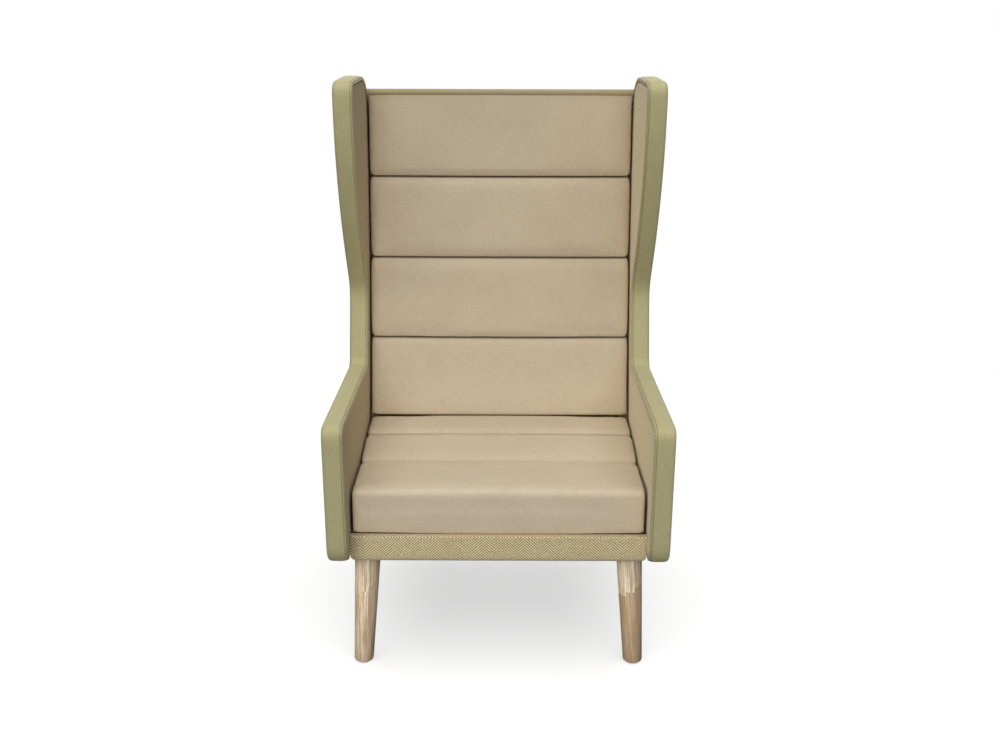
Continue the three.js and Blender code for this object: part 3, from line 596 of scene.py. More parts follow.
# %% Speckled finishes
foam_cell = 1.1 * mm
brushed_size = 0.7 * mm
strap_rib = 2.5 * mm
felt_dimple = 2.2 * mm
zinc_relief = 0.05 * mm
nylon_relief = 0.08 * mm
foam_relief = 0.5 * mm
webbing_relief = 0.4 * mm
lining_relief = 0.2 * mm
patch_stretch = 20
speck_shares = (0.35, 0.65)
dark_patch_shares = (0.4, 0.7, 0, 0.3)
shine_spread_shares = (0.3, 0.7)
speck_relief_share = 0.5
zinc_shares = ((0.55, 0.57, 0.6, 1), (0.38, 0.4, 0.42, 1))
nylon_shares = ((0.045, 0.043, 0.04, 1), (0.02, 0.02, 0.019, 1))
lining_shares = ((0.03, 0.029, 0.028, 1), (0.012, 0.012, 0.012, 1))
foam_colours = (colour(92, 90, 86), colour(66, 64, 61))
webbing_colours = (colour(86, 80, 72), colour(46, 42, 38))
zinc_rough_shares = (0.28, 0.5)
nylon_rough_shares = (0.4, 0.6)
dull_rough_shares = (0.85, 1.0)
webbing_rough_shares = (0.8, 0.95)


def speckled(name, pale, dark, size, relief, rough_shares, metal_share=0):
    finish, tree, shader = new_finish(name)
    place = object_place(tree)
    grains = cloudy(tree, place, size)
    patches = cloudy(tree, place, patch_stretch * size, pore_detail)
    tone = mixed_colour(tree, spread(tree, grains, *speck_shares), dark, pale)
    tone = mixed_colour(tree, spread(tree, patches, *dark_patch_shares), tone, dark)
    rough = spread(tree, grains, *shine_spread_shares, *rough_shares)
    link_surface(tree, shader, tone, rough, grains, relief, speck_relief_share)
    shader.inputs["Metallic"].default_value = metal_share
    return finish


zinc = speckled(
    "zinc_plated_steel", *zinc_shares, brushed_size, zinc_relief, zinc_rough_shares, metal_share=1,
)
nylon = speckled("nylon", *nylon_shares, fleck_size, nylon_relief, nylon_rough_shares)
foam_material = speckled("foam", *foam_colours, foam_cell, foam_relief, dull_rough_shares)
webbing_material = speckled(
    "elastic_webbing", *webbing_colours, strap_rib, webbing_relief, webbing_rough_shares,
)
lining = speckled("lining_fabric", *lining_shares, felt_dimple, lining_relief, dull_rough_shares)
print("fine grained finishes:", zinc.name, nylon.name, foam_material.name, lining.name)

# %% [markdown]
# ## Finishing the solids that stay
#
# Wood rails, posts, blocks, boards, bolts and glides already have the right shape, so they only
# get a material. The grain runs the long way of each piece, so the rails that cross the chair,
# those that run back and the upright posts each take their own cut of beech.

# %% Frame finishes
frame_finishes = {
    "side_frame": plywood,
    "back_board": plywood,
    "seat_rail_front": beech_across,
    "seat_rail_rear": beech_across,
    "seat_rail_": beech_along,
    "back_rail": beech_across,
    "back_post": beech_upright,
    "corner_block": beech_across,
    "leg_bolt": zinc,
    "leg_plate": zinc,
    "side_bolt": zinc,
    "threaded_insert": zinc,
    "glide": nylon,
}


def finish_solid(name):
    for start, finish in frame_finishes.items():
        if name.startswith(start):
            node = nodes[name]
            node.data.materials.clear()
            node.data.materials.append(finish)
            return True
    return False


finished = [name for name in nodes if finish_solid(name)]
print(len(finished), "solids keep their shape and get a finish")

# %% [markdown]
# ## Helpers for new pieces
#
# Every new piece goes through the same last steps: the mesh becomes an object at the origin,
# gets its material and smooth shading, rides on the chair, and hides the solid it stands for.
# The cloth map is laid by a small function of each piece's own, which turns a point of the
# surface into a distance across the cloth and a distance along it. Where a piece has no function
# of its own, the cloth is simply laid on from the side that the face looks to most.

# %% Piece helpers
weld_distance = 0.02 * mm


def copied_solid(name):
    bm = bmesh.new()
    bm.from_mesh(nodes[name].data)
    bmesh.ops.remove_doubles(bm, verts=bm.verts, dist=weld_distance)
    bmesh.ops.recalc_face_normals(bm, faces=bm.faces)
    return bm


def lay_cloth(mesh, place_on_cloth):
    layer = mesh.uv_layers.get("cloth") or mesh.uv_layers.new(name="cloth")
    for face in mesh.polygons:
        for loop in face.loop_indices:
            spot = mesh.vertices[mesh.loops[loop].vertex_index].co
            layer.data[loop].uv = place_on_cloth(spot, face.normal)


def boxed(spot, facing):
    sizes = [abs(value) for value in facing]
    if sizes[0] >= max(sizes[1], sizes[2]):
        return spot.y, spot.z
    if sizes[1] >= sizes[2]:
        return spot.x, spot.z
    return spot.x, spot.y


def finish_piece(name, bm_or_mesh, finish, stands_for, cloth=boxed):
    if isinstance(bm_or_mesh, bpy.types.Mesh):
        mesh = bm_or_mesh
    else:
        mesh = bpy.data.meshes.new(name)
        bm_or_mesh.to_mesh(mesh)
        bm_or_mesh.free()
    mesh.update()
    if cloth:
        lay_cloth(mesh, cloth)
    mesh.materials.clear()
    mesh.materials.append(finish)
    mesh.shade_smooth()
    piece = bpy.data.objects.new(name, mesh)
    scene.collection.objects.link(piece)
    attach(piece, "root")
    if stands_for:
        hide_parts(*stands_for)
    print(name, len(mesh.polygons), "faces")
    return piece


print("vertices closer than", weld_distance / mm, "mm are welded")

# %% [markdown]
# ## The rim of a side panel
#
# Arm, wing and back edge of a side panel are one flowing outline. Cutting the solid band through
# its middle leaves that outline as a loop of edges. Long edges are divided and the loop is eased
# once or twice so that no facet shows, which is what cloth pulled over wadding does as well.

# %% Outlines cut from the solids
panel_inner_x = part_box("side_inner_pad_right")[0][0]
panel_outer_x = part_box("side_outer_pad_right")[1][0]
panel_middle_x = (panel_inner_x + panel_outer_x) / 2
rim_step = 7 * mm
rim_easings = 2
long_edge_share = 1.5
easing_share = 0.5


def edge_walk(start):
    walk, seen, here = [start], {start}, start
    while here:
        ahead = [edge.other_vert(here) for edge in here.link_edges if edge.other_vert(here) not in seen]
        here = ahead[0] if ahead else None
        if here:
            walk.append(here)
            seen.add(here)
    return walk


def outline_of(solid, cut_x, at_x, step, easings, first=lambda vert: vert.co.y):
    bm = copied_solid(solid)
    everything = bm.verts[:] + bm.edges[:] + bm.faces[:]
    bmesh.ops.bisect_plane(
        bm, geom=everything, plane_co=(cut_x, 0, 0), plane_no=(1, 0, 0),
        clear_inner=True, clear_outer=True,
    )
    bmesh.ops.remove_doubles(bm, verts=bm.verts, dist=weld_distance)
    kept = set(edge_walk(min(bm.verts, key=first)))
    bmesh.ops.delete(bm, geom=[vert for vert in bm.verts if vert not in kept], context="VERTS")
    for edge in [edge for edge in bm.edges if edge.calc_length() > long_edge_share * step]:
        bmesh.ops.subdivide_edges(bm, edges=[edge], cuts=round(edge.calc_length() / step) - 1)
    for _ in range(easings):
        bmesh.ops.smooth_vert(
            bm, verts=bm.verts, factor=easing_share,
            use_axis_x=False, use_axis_y=True, use_axis_z=True,
        )
    bmesh.ops.translate(bm, verts=bm.verts, vec=(at_x - cut_x, 0, 0))
    return bm


def rim_outline(at_x):
    return outline_of("side_edge_band_right", panel_middle_x, at_x, rim_step, rim_easings)


test_loop = rim_outline(panel_middle_x)
rim_length = sum(edge.calc_length() for edge in test_loop.edges)
print("rim of", len(test_loop.verts), "points,", round(rim_length, 3), "m round")
test_loop.free()

# %% [markdown]
# ## Drawing a section with insets
#
# A face filled into an outline can be inset again and again. Each inset leaves a ring of faces
# behind, and with a depth it also moves the face in or out. So a list of insets and depths draws
# a cross-section all the way round the rim, like a plane cutting a moulding. Each step may also
# say how much painted shade its ring gets, which the cloth shows as a dark line in a seam.

# %% Insets
def filled(bm):
    bm.verts.layers.float.new("seam_shade")
    face = bmesh.ops.contextual_create(bm, geom=bm.edges[:])["faces"][0]
    if face.normal.x > 0:
        face.normal_flip()
    return face


def stepped_inset(bm, face, steps):
    reached_inset, reached_depth = 0, 0
    shade = bm.verts.layers.float.get("seam_shade")
    for inset, depth, *dark in steps:
        bmesh.ops.inset_region(
            bm, faces=[face], thickness=inset - reached_inset, depth=depth - reached_depth,
            use_boundary=True, use_even_offset=True,
        )
        reached_inset, reached_depth = inset, depth
        # The ring's share of painted seam shade.
        for vert in face.verts:
            vert[shade] = dark[0] if dark else 0


def turned_over(bm, plane_x):
    bmesh.ops.translate(bm, verts=bm.verts, vec=(-plane_x, 0, 0))
    bmesh.ops.scale(bm, vec=(-1, 1, 1), verts=bm.verts)
    bmesh.ops.translate(bm, verts=bm.verts, vec=(plane_x, 0, 0))
    return bm


def on_side(bm, side):
    if side == "left":
        bmesh.ops.scale(bm, vec=(-1, 1, 1), verts=bm.verts)
    bmesh.ops.recalc_face_normals(bm, faces=bm.faces)
    return bm


print("panel", round((panel_outer_x - panel_inner_x) / mm, 1), "mm thick between its faces")

# %% [markdown]
# ## Edge bands
#
# The band is one long strip of green cloth over wadding, wrapped round the rim and sewn to both
# faces. We start from the outline as a flat face in the middle of the panel's thickness and
# inset it step by step: each step goes a little further in from the rim and a little nearer to
# the panel's face, so the steps draw the strip's cross-section. A mirror makes the other half.
#
# The two halves differ. Towards the seat a narrow crease runs along the roll, and inside it the
# cloth rises to a lip with the stitches on its crown. On the outer side the lip lies flat with a
# crease on each side. The steps of the inner roll are written as three shares: how far round the
# roll, how much of the lip's rise, and how much painted shade, which darkens the crease and crown.

# %% Sizes of the band
rim_crown = 0.5 * mm
roll_radius = 9 * mm
crease_depth = 2.2 * mm
crease_width = 1.5 * mm
edge_softness = 0.5 * mm
lip_start = 10.6 * mm
lip_width = 3.2 * mm
flange_thickness = 3.4 * mm
band_inner_wall = 11 * mm
roll_segments = 8
lip_rise = 1.4 * mm
inner_lip_end = 11.4 * mm
# Painted shade: the third share darkens the crease and the crown under the stitches.
inner_lip_shares = (
    (0.12, 0, 0), (0.22, 0, 0), (0.29, -0.1, 0.1), (0.33, -0.8, 0.6), (0.38, -0.8, 0.6),
    (0.42, 0.3, 0.2), (0.5, 0.8, 0), (0.6, 1, 0.6), (0.74, 1, 0.6), (0.86, 0.8, 0), (1, 0.7, 0),
)
flat_shares = (0.35, 0.7, 1)
half_painted_shade_share = 0.5
half_thickness = (panel_outer_x - panel_inner_x) / 2
flat_reach = half_thickness - roll_radius
print("flat between the rolls:", round(2 * flat_reach / mm, 1), "mm")


# %% Sections of the band
def flat_steps():
    return [(rim_crown * share ** 2, flat_reach * share) for share in flat_shares]


def roll_steps(turn_shares):
    for share, out, dark in turn_shares:
        turn = right_angle * share
        rise = lip_rise * out
        yield (
            roll_radius - (roll_radius - rim_crown + rise) * math.cos(turn),
            flat_reach + (roll_radius + rise) * math.sin(turn),
            dark,
        )


# A third value in a step is painted shade in the creases beside the lip.
def outer_section():
    lip_end = lip_start + lip_width
    plain_roll = [(step / roll_segments, 0, 0) for step in range(1, roll_segments + 1)]
    return flat_steps() + list(roll_steps(plain_roll)) + [
        (lip_start - crease_width, half_thickness - edge_softness),
        (lip_start - crease_width + edge_softness, half_thickness - crease_depth, 1),
        (lip_start, half_thickness - crease_depth, 1),
        (lip_start + edge_softness / 2, half_thickness - edge_softness),
        (lip_start + lip_width / 2, half_thickness),
        (lip_end - edge_softness / 2, half_thickness - edge_softness),
        (lip_end, half_thickness - crease_depth, 1),
        (lip_end + edge_softness, half_thickness - flange_thickness, 1),
    ]


# The last steps add painted shade in the crease beside the lip.
def inner_section():
    return flat_steps() + list(roll_steps(inner_lip_shares)) + [
        (inner_lip_end - edge_softness, half_thickness + lip_rise / 2),
        (inner_lip_end, half_thickness - edge_softness, half_painted_shade_share),
        (inner_lip_end + edge_softness, half_thickness - crease_depth, 1),
        (inner_lip_end + 2 * edge_softness, half_thickness - flange_thickness, 1),
    ]


print("steps in the inner and outer section:", len(inner_section()), len(outer_section()))


# %% Edge bands
def band_half(section):
    bm = rim_outline(panel_middle_x)
    face = filled(bm)
    stepped_inset(bm, face, section + [
        (band_inner_wall, half_thickness - flange_thickness),
        (band_inner_wall, 0),
    ])
    bmesh.ops.delete(bm, geom=[face], context="FACES_ONLY")
    return bm


def edge_band(side):
    bm = band_half(inner_section())
    outer_half = turned_over(band_half(outer_section()), panel_middle_x)
    outer_mesh = bpy.data.meshes.new("outer_half")
    outer_half.to_mesh(outer_mesh)
    outer_half.free()
    bm.from_mesh(outer_mesh)
    bmesh.ops.remove_doubles(bm, verts=bm.verts, dist=weld_distance)
    return finish_piece(
        f"{side}_edge_band", on_side(bm, side), band_cloth, [f"side_edge_band_{side}"],
    )


for side in sides:
    edge_band(side)

# %% [markdown]
# ## Faces of the side panels
#
# Inside the band lies a flat pad of thin wadding under herringbone. Its edge dips into the seam,
# so light catches the rounding and shade falls between face and band, deepened by painted shade.
# The same outline is inset to the seam, given its thickness, and finished with a few rounding
# steps. A last flat step keeps the shading of the big face even. Each step is written as how far
# along the rounded edge it is, how much of the dip is left there, and how much painted shade.

# %% Face pads
pad_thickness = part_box("side_inner_pad_right")[1][0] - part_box("side_inner_pad_right")[0][0]
seam_slack = 1.3 * mm
pad_edge = 5 * mm
pad_dip = 2.6 * mm
# The third share of each edge step is painted shade in the seam.
pad_edge_shares = (
    (0, 1, 1), (0.08, 0.45, 0.7), (0.22, 0.2, 0.2), (0.5, 0.06, 0), (1, 0, 0), (1.6, 0, 0),
)
pad_starts = {
    "inner": inner_lip_end + seam_slack,
    "outer": lip_start + lip_width + seam_slack,
}


def face_pad(side, which):
    bm = rim_outline(panel_inner_x + pad_thickness)
    face = filled(bm)
    stepped_inset(bm, face, [(pad_starts[which], 0)])
    bmesh.ops.delete(bm, geom=[other for other in bm.faces if other != face], context="FACES")
    bmesh.ops.duplicate(bm, geom=[face])
    edge_steps = [
        (pad_edge * far, pad_thickness - pad_dip * deep, dark) for far, deep, dark in pad_edge_shares
    ]
    stepped_inset(bm, face, edge_steps)
    bmesh.ops.remove_doubles(bm, verts=bm.verts, dist=weld_distance)
    if which == "outer":
        turned_over(bm, panel_middle_x)
    return finish_piece(
        f"{side}_{which}_face", on_side(bm, side), herringbone,
        [f"side_{which}_pad_{side}"],
    )


for side in sides:
    for which in pad_starts:
        face_pad(side, which)

# %% [markdown]
# ## Top stitching
#
# A line of short stitches runs along the lip on both faces of each panel: on the crown of the
# inner lip, and along the middle of the flat outer one. One stitch is a tiny stretched ball with
# few faces, because there are hundreds of them. We walk along the lip at a fixed pitch and set a
# stitch at each stop, turned to follow the seam.

# %% Stitch sizes
stitch_pitch = 6.2 * mm
stitch_length = 4.2 * mm
thread_radius = 0.6 * mm
thread_sink = 0.1 * mm
thread_fuzz = 0.05 * mm
ball_segments = 6
ball_rings = 5
inner_stitch_share = 0.66
thread_rough_shares = (0.55, 0.75)
thread_colours = (colour(232, 226, 196), colour(204, 196, 160))
thread_finish = speckled(
    "sewing_thread", *thread_colours, thread_radius, thread_fuzz, thread_rough_shares,
)
inner_inset, inner_reach, _ = next(roll_steps([(inner_stitch_share, 1, 0)]))
stitch_places = {
    "inner": (inner_inset, panel_middle_x - inner_reach - thread_sink),
    "outer": (lip_start + lip_width / 2, panel_outer_x + thread_sink),
}
print("inner stitches run", round(inner_inset / mm, 1), "mm inside the rim")


# %% Walking along the lip
def lip_line(inset):
    bm = rim_outline(panel_inner_x)
    face = filled(bm)
    stepped_inset(bm, face, [(inset, 0)])
    line = [vert.co.copy() for vert in face.verts]
    bm.free()
    return line + line[:1]


def stops_along(line, pitch):
    left_over = 0.0
    for here, ahead in zip(line, line[1:]):
        span = (ahead - here).length
        way = (ahead - here).normalized()
        place = left_over
        while place < span:
            yield here + way * place, way
            place += pitch
        left_over = place - span


stops = list(stops_along(lip_line(inner_inset), stitch_pitch))
print(len(stops), "stitches in an inner row")


# %% Stitches
def one_stitch():
    bm = bmesh.new()
    stretch = Matrix.Diagonal((1, 1, stitch_length / thread_radius / 2, 1))
    bmesh.ops.create_uvsphere(
        bm, u_segments=ball_segments, v_segments=ball_rings, radius=thread_radius, matrix=stretch,
    )
    bm.verts.index_update()
    spots = [vert.co.copy() for vert in bm.verts]
    corners = [[vert.index for vert in face.verts] for face in bm.faces]
    bm.free()
    return spots, corners


def stitch_row(side, which):
    inset, face_x = stitch_places[which]
    spots, corners = one_stitch()
    all_spots, all_corners = [], []
    for spot, way in stops_along(lip_line(inset), stitch_pitch):
        turn = way.to_track_quat("Z", "X").to_matrix().to_4x4()
        place = Matrix.Translation((face_x, spot.y, spot.z)) @ turn
        first = len(all_spots)
        all_spots += [place @ vert for vert in spots]
        all_corners += [[first + corner for corner in face] for face in corners]
    mesh = bpy.data.meshes.new("stitches")
    mesh.from_pydata(all_spots, [], all_corners)
    bm = bmesh.new()
    bm.from_mesh(mesh)
    return finish_piece(
        f"{side}_{which}_stitches", on_side(bm, side), thread_finish, None, cloth=None,
    )


for side in sides:
    for which in stitch_places:
        stitch_row(side, which)

# %% [markdown]
# ## Swept covers: front rail and back shell
#
# The rail cover and the back shell keep one profile all the way across the chair, so each is a
# cut through its solid, eased like the rim, filled and pushed out to the chair's width. Their
# ends are rounded with a bevel where the cloth turns in beside the panels.

# %% Sweeping helper
sweep_step = 5 * mm
end_radius = 3.5 * mm
end_segments = 4
sweep_easings = 1


def swept(solid, radius):
    low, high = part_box(solid)
    bm = outline_of(solid, 0, low[0], sweep_step, sweep_easings)
    face = filled(bm)
    made = bmesh.ops.extrude_face_region(bm, geom=[face], use_keep_orig=True)["geom"]
    pushed = [part for part in made if isinstance(part, bmesh.types.BMVert)]
    bmesh.ops.translate(bm, verts=pushed, vec=(high[0] - low[0], 0, 0))
    bmesh.ops.recalc_face_normals(bm, faces=bm.faces)
    ends = [edge for edge in bm.edges if abs(edge.verts[0].co.x - edge.verts[1].co.x) < weld_distance]
    bmesh.ops.bevel(
        bm, geom=ends, offset=radius, offset_type="OFFSET", segments=end_segments, profile=0.5,
        affect="EDGES", material=-1, clamp_overlap=True,
    )
    bmesh.ops.recalc_face_normals(bm, faces=bm.faces)
    return bm


def cut_across(bm, x):
    everything = bm.verts[:] + bm.edges[:] + bm.faces[:]
    bmesh.ops.bisect_plane(bm, geom=everything, plane_co=(x, 0, 0), plane_no=(1, 0, 0))


def within_reach(distance, reach):
    return max(1 - distance / reach, 0)


print("swept covers are stepped every", sweep_step / mm, "mm round their profile")

# %% [markdown]
# ## Front rail cover
#
# The cover wraps the rail's face and its rounded lower edge. A faint upright seam in the middle
# joins its two halves: cuts are made on both sides of it, close together there and wider apart
# further out, and the one in the middle is sunk a little. At both ends the cloth is pulled round
# a padded corner, so the lower edge rises there in a quarter circle, and all along the bottom
# the face curls back under the seat box. A few more cuts near the ends give the corners enough
# points to bend. The top edge is lowered a little, where the seat cushion comes down to meet it.

# %% Sizes of the rail cover
rail_low, rail_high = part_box("front_rail_cover")
rail_seam_width = 1.6 * mm
rail_seam_depth = 0.9 * mm
rail_cut_shares = (1, 2, 4, 16, 50, 100)
outer_reach = 3 * mm
rail_corner = 12 * mm
rail_corner_reach = 20 * mm
rail_corner_shares = (1, 0.75, 0.5, 0.32, 0.18)
rail_curl = 6 * mm
rail_curl_reach = 20 * mm
rail_top_drop = 2 * mm
rail_top_reach = 7 * mm
print("rail cover", round(rail_high[0] - rail_low[0], 3), "m wide")


# %% Front rail cover
def rail_cloth(spot, facing):
    return spot.x, spot.z - (spot.y - rail_low[1])


def sink_seam(bm):
    cuts = [rail_seam_width * share for share in rail_cut_shares]
    for x in [-cut for cut in cuts] + [0] + cuts:
        cut_across(bm, x)
    for vert in bm.verts:
        on_seam = abs(vert.co.x) < weld_distance
        if on_seam and vert.co.y < rail_low[1] + outer_reach:
            vert.co.y += rail_seam_depth


def round_corners(bm):
    start = rail_high[0] - rail_corner
    for share in rail_corner_shares:
        for x in (start + rail_corner * (1 - share), -start - rail_corner * (1 - share)):
            cut_across(bm, x)
    for vert in bm.verts:
        out = min(within_reach(rail_high[0] - abs(vert.co.x), rail_corner), 1)
        lift = rail_corner * (1 - math.sqrt(1 - out ** 2))
        low_share = within_reach(vert.co.z - rail_low[2], rail_corner_reach)
        top_share = within_reach(rail_high[2] - vert.co.z, rail_top_reach)
        vert.co.z += lift * low_share - rail_top_drop * top_share
        curl_share = within_reach(vert.co.z - rail_low[2], rail_curl_reach)
        vert.co.y += rail_curl * (1 - math.sqrt(1 - min(curl_share, 1) ** 2))


bm = swept("front_rail_cover", end_radius / 2)
sink_seam(bm)
round_corners(bm)
rail_cover = finish_piece(
    "front_rail_wrap", bm, rail_herringbone, ["front_rail_cover"],
    cloth=rail_cloth,
)

# %% [markdown]
# ## Back shell
#
# The outer back is one curved, cloth-covered shell that ends in a narrow lip above the cushion.
# The herringbone runs up its rear: the height on the cloth is the distance walked up the rear of
# the profile, looked up by height. Where the shell faces forward, as on the lip, the cloth is
# laid on straight, so that the ribs keep their width there.

# %% Walking up the shell
rearward_share = 0.001


def walked_heights(solid):
    bm = outline_of(
        solid, 0, 0, sweep_step, 0, first=lambda vert: vert.co.z - vert.co.y * rearward_share,
    )
    walk = [vert.co.copy() for vert in edge_walk(max(bm.verts, key=lambda vert: vert.co.y - vert.co.z))]
    bm.free()
    top = max(range(len(walk)), key=lambda place: walk[place].z)
    line = walk[:top + 1] if walk[1].z > walk[0].z else [walk[0]] + walk[:top - 1:-1]
    reach, table = 0.0, [(line[0].z, 0.0)]
    for here, ahead in zip(line, line[1:]):
        reach += (ahead - here).length
        table.append((ahead.z, reach))
    return table


shell_reach = walked_heights("back_shell")
print("shell line", round(shell_reach[-1][1], 3), "m long, top at", round(shell_reach[-1][0], 3))


# %% Back shell
def shell_cloth(spot, facing):
    if facing.y < 0:
        return spot.x, spot.z + spot.y
    last = shell_reach[0]
    for height, reach in shell_reach:
        if height >= spot.z:
            break
        last = (height, reach)
    share = 0 if height <= last[0] else (spot.z - last[0]) / (height - last[0])
    return spot.x, last[1] + (reach - last[1]) * min(share, 1)


shell = finish_piece(
    "back_shell_cover", swept("back_shell", end_radius), rail_herringbone,
    ["back_shell"], cloth=shell_cloth,
)

# %% [markdown]
# ## Cushions with sewn channels
#
# A channelled cushion is a row of soft tubes sewn side by side. We cut the solid at each seam,
# close the cuts, and fill every channel from within by a cloth simulation with a little air
# pressure and no gravity. The cover starts slightly too small, so it comes out taut, and it
# wrinkles at the seams by itself. How far any point may move is limited, and no channel may
# cross its seam or reach the panels beside it.
#
# The solids already have grooves at their seams, drawn for a plain model. The simulation makes
# better ones, so first most of each groove is filled again: every ring of points at one height
# is pushed out towards the full width and the full front of the cushion.

# %% Filling the grooves
seam_reach = 30 * mm
full_slack = 0.12 * mm
seam_fill_share = 0.4
end_fill_share = 0.92
place_digits = 4
beyond = 1.0


def lerp_table(table, place):
    pairs = list(zip(table, table[1:])) or [(table[0], (table[0][0] + beyond, table[0][1]))]
    below = [pair for pair in pairs if pair[0][0] <= place] or pairs[:1]
    (low_place, low_value), (high_place, high_value) = below[-1]
    return low_value + (high_value - low_value) * (place - low_place) / (high_place - low_place)


def ring_facts(ring):
    depths = [vert.co.y for vert in ring]
    return min(depths), max(depths), max(abs(vert.co.x) for vert in ring)


def fill_grooves(bm, chosen, seams):
    rings = {}
    for vert in filter(chosen, bm.verts):
        rings.setdefault(round(vert.co.z, place_digits), []).append(vert)
    facts = {height: ring_facts(ring) for height, ring in sorted(rings.items())}
    widest = max(half for front, rear, half in facts.values())
    full = [
        (height, front) for height, (front, rear, half) in facts.items()
        if half > widest - full_slack
    ]
    for height, ring in rings.items():
        front, rear, half = facts[height]
        at_seam = any(abs(height - seam) < seam_reach for seam in seams)
        fill = seam_fill_share if at_seam else end_fill_share
        new_front = front + (lerp_table(full, height) - front) * fill
        new_half = half + (widest - half) * fill
        for vert in ring:
            vert.co.y = rear - (rear - vert.co.y) * (rear - new_front) / (rear - front)
            vert.co.x *= new_half / half


print("grooves are filled by", end_fill_share, "and near the seams by", seam_fill_share)

# %% [markdown]
# ## Cutting a cushion into channels
#
# Each channel starts as a copy of the whole solid. Two planes cut away what lies beyond its
# seams, and the open cuts are closed with a face. A voxel remesh then gives it small even faces
# all over, which cloth needs to bend freely. The modifier's result is read from a helper object
# that is removed again.

# %% Cutting and remeshing
voxel_size = 6 * mm


def take_shape(helper, mesh):
    shaped = helper.evaluated_get(bpy.context.evaluated_depsgraph_get())
    bm = bmesh.new()
    bm.from_mesh(shaped.to_mesh())
    shaped.to_mesh_clear()
    bm.to_mesh(mesh)
    bm.free()


def remeshed(bm, mesh):
    bm.to_mesh(mesh)
    bm.free()
    helper = bpy.data.objects.new("channel", mesh)
    scene.collection.objects.link(helper)
    remesh = helper.modifiers.new("remesh", "REMESH")
    remesh.mode = "VOXEL"
    remesh.voxel_size = voxel_size
    take_shape(helper, mesh)
    bpy.data.objects.remove(helper)


def cut_channels(name, axis, seams, prepare):
    bm = bmesh.new()
    low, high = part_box(name)
    stops = [low[axis] - beyond, *seams, high[axis] + beyond]
    for start, end in zip(stops, stops[1:]):
        part = copied_solid(name)
        prepare(part)
        for place, keep_inner in ((start, True), (end, False)):
            cut_at, facing = Vector(), Vector()
            cut_at[axis], facing[axis] = place, 1
            cut = bmesh.ops.bisect_plane(
                part, geom=part.verts[:] + part.edges[:] + part.faces[:], plane_co=cut_at,
                plane_no=facing, clear_inner=keep_inner, clear_outer=not keep_inner,
            )["geom_cut"]
            rim = [edge for edge in cut if isinstance(edge, bmesh.types.BMEdge)]
            if rim:
                bmesh.ops.contextual_create(part, geom=rim)
        bmesh.ops.recalc_face_normals(part, faces=part.faces)
        mesh = bpy.data.meshes.new("channel")
        remeshed(part, mesh)
        bm.from_mesh(mesh)
    return bm


print("cushion covers have faces of", voxel_size / mm, "mm")

# %% [markdown]
# ## Blowing up the cover
#
# Blender's cloth modifier fills a closed mesh with pressure. A vertex group holds the points
# that are glued or sewn down, and twenty frames are enough for the cloth to come to rest. Then
# we only read where its points went, so no simulation stays on the finished piece.

# %% Cloth simulation
air_pressure = 4
last_frame = 20


def puffed(mesh, held):
    helper = bpy.data.objects.new("puffed", mesh)
    scene.collection.objects.link(helper)
    group = helper.vertex_groups.new(name="held")
    group.add([vert.index for vert in mesh.vertices if held(vert)], 1, "REPLACE")
    cloth = helper.modifiers.new("cloth", "CLOTH")
    cloth.settings.use_pressure = True
    cloth.settings.uniform_pressure_force = air_pressure
    cloth.settings.effector_weights.gravity = 0
    cloth.settings.vertex_group_mass = "held"
    cloth.point_cache.frame_start = 1
    cloth.point_cache.frame_end = last_frame
    for frame_number in range(1, last_frame + 1):
        scene.frame_set(frame_number)
    shaped = helper.evaluated_get(bpy.context.evaluated_depsgraph_get())
    moved = [vert.co.copy() for vert in shaped.data.vertices]
    bpy.data.objects.remove(helper)
    scene.frame_set(1)
    return moved


print("cloth runs for", last_frame, "frames at pressure", air_pressure)

# %% [markdown]
# ## Which channel a point belongs to
#
# After the channels are joined into one mesh, each of them is still an island of its own. To
# keep every point on its own side of the seams we must know its island. We walk over the edges
# and let each point find the root of its island, and the middle of the island says which
# channel it is.

# %% Islands
def island_centres(mesh, axis):
    parent = list(range(len(mesh.vertices)))

    def root_of(index):
        while parent[index] != index:
            parent[index] = parent[parent[index]]
            index = parent[index]
        return index

    for edge in mesh.edges:
        first, second = (root_of(index) for index in edge.vertices)
        parent[first] = second
    totals = {}
    roots = [root_of(index) for index in range(len(mesh.vertices))]
    for root, vert in zip(roots, mesh.vertices):
        reach, count = totals.get(root, (0, 0))
        totals[root] = (reach + vert.co[axis], count + 1)
    return [totals[root][0] / totals[root][1] for root in roots]


def channel_of(value, stops):
    return next((place for place, end in enumerate(stops[1:]) if value < end), len(stops) - 2)


print("channels in the back and the seat:", len(back_seams) + 1, len(seat_seams) + 1)

# %% [markdown]
# ## Putting a channelled cushion together
#
# The start shape shrinks a little along its normals, the simulation swells it, and a soft limit
# keeps every point near its start. Close to the seams a slow noise adds shallow puckers, which
# the tight thread pulls into real cloth. Last comes one level of subdivision.

# %% Channelled cushion
start_shrink = 1.2 * mm
seam_gap = 0.35 * mm
seam_hold = 4 * mm
cap_facing = 0.8
side_gap = 0.8 * mm
side_limit = panel_inner_x - side_gap
seam_fade = 13 * mm
pucker_depth = 0.5 * mm
pucker_width = 15 * mm
pucker_length = 3 * pucker_width
rounding_levels = 1


def limited(step, most):
    size = step.length
    return step * (most * math.tanh(size / most) / size) if size else step


def seam_pull(spot, axis, seams):
    nearest = min(abs(spot[axis] - seam) for seam in seams)
    fade = math.exp(-nearest / seam_fade)
    waves = noise.noise(Vector((spot.x / pucker_width, spot[axis] / pucker_length, 0)))
    return fade * pucker_depth * waves


def moved_by(mesh, spots):
    mesh.vertices.foreach_set("co", [value for spot in spots for value in spot])
    mesh.update()


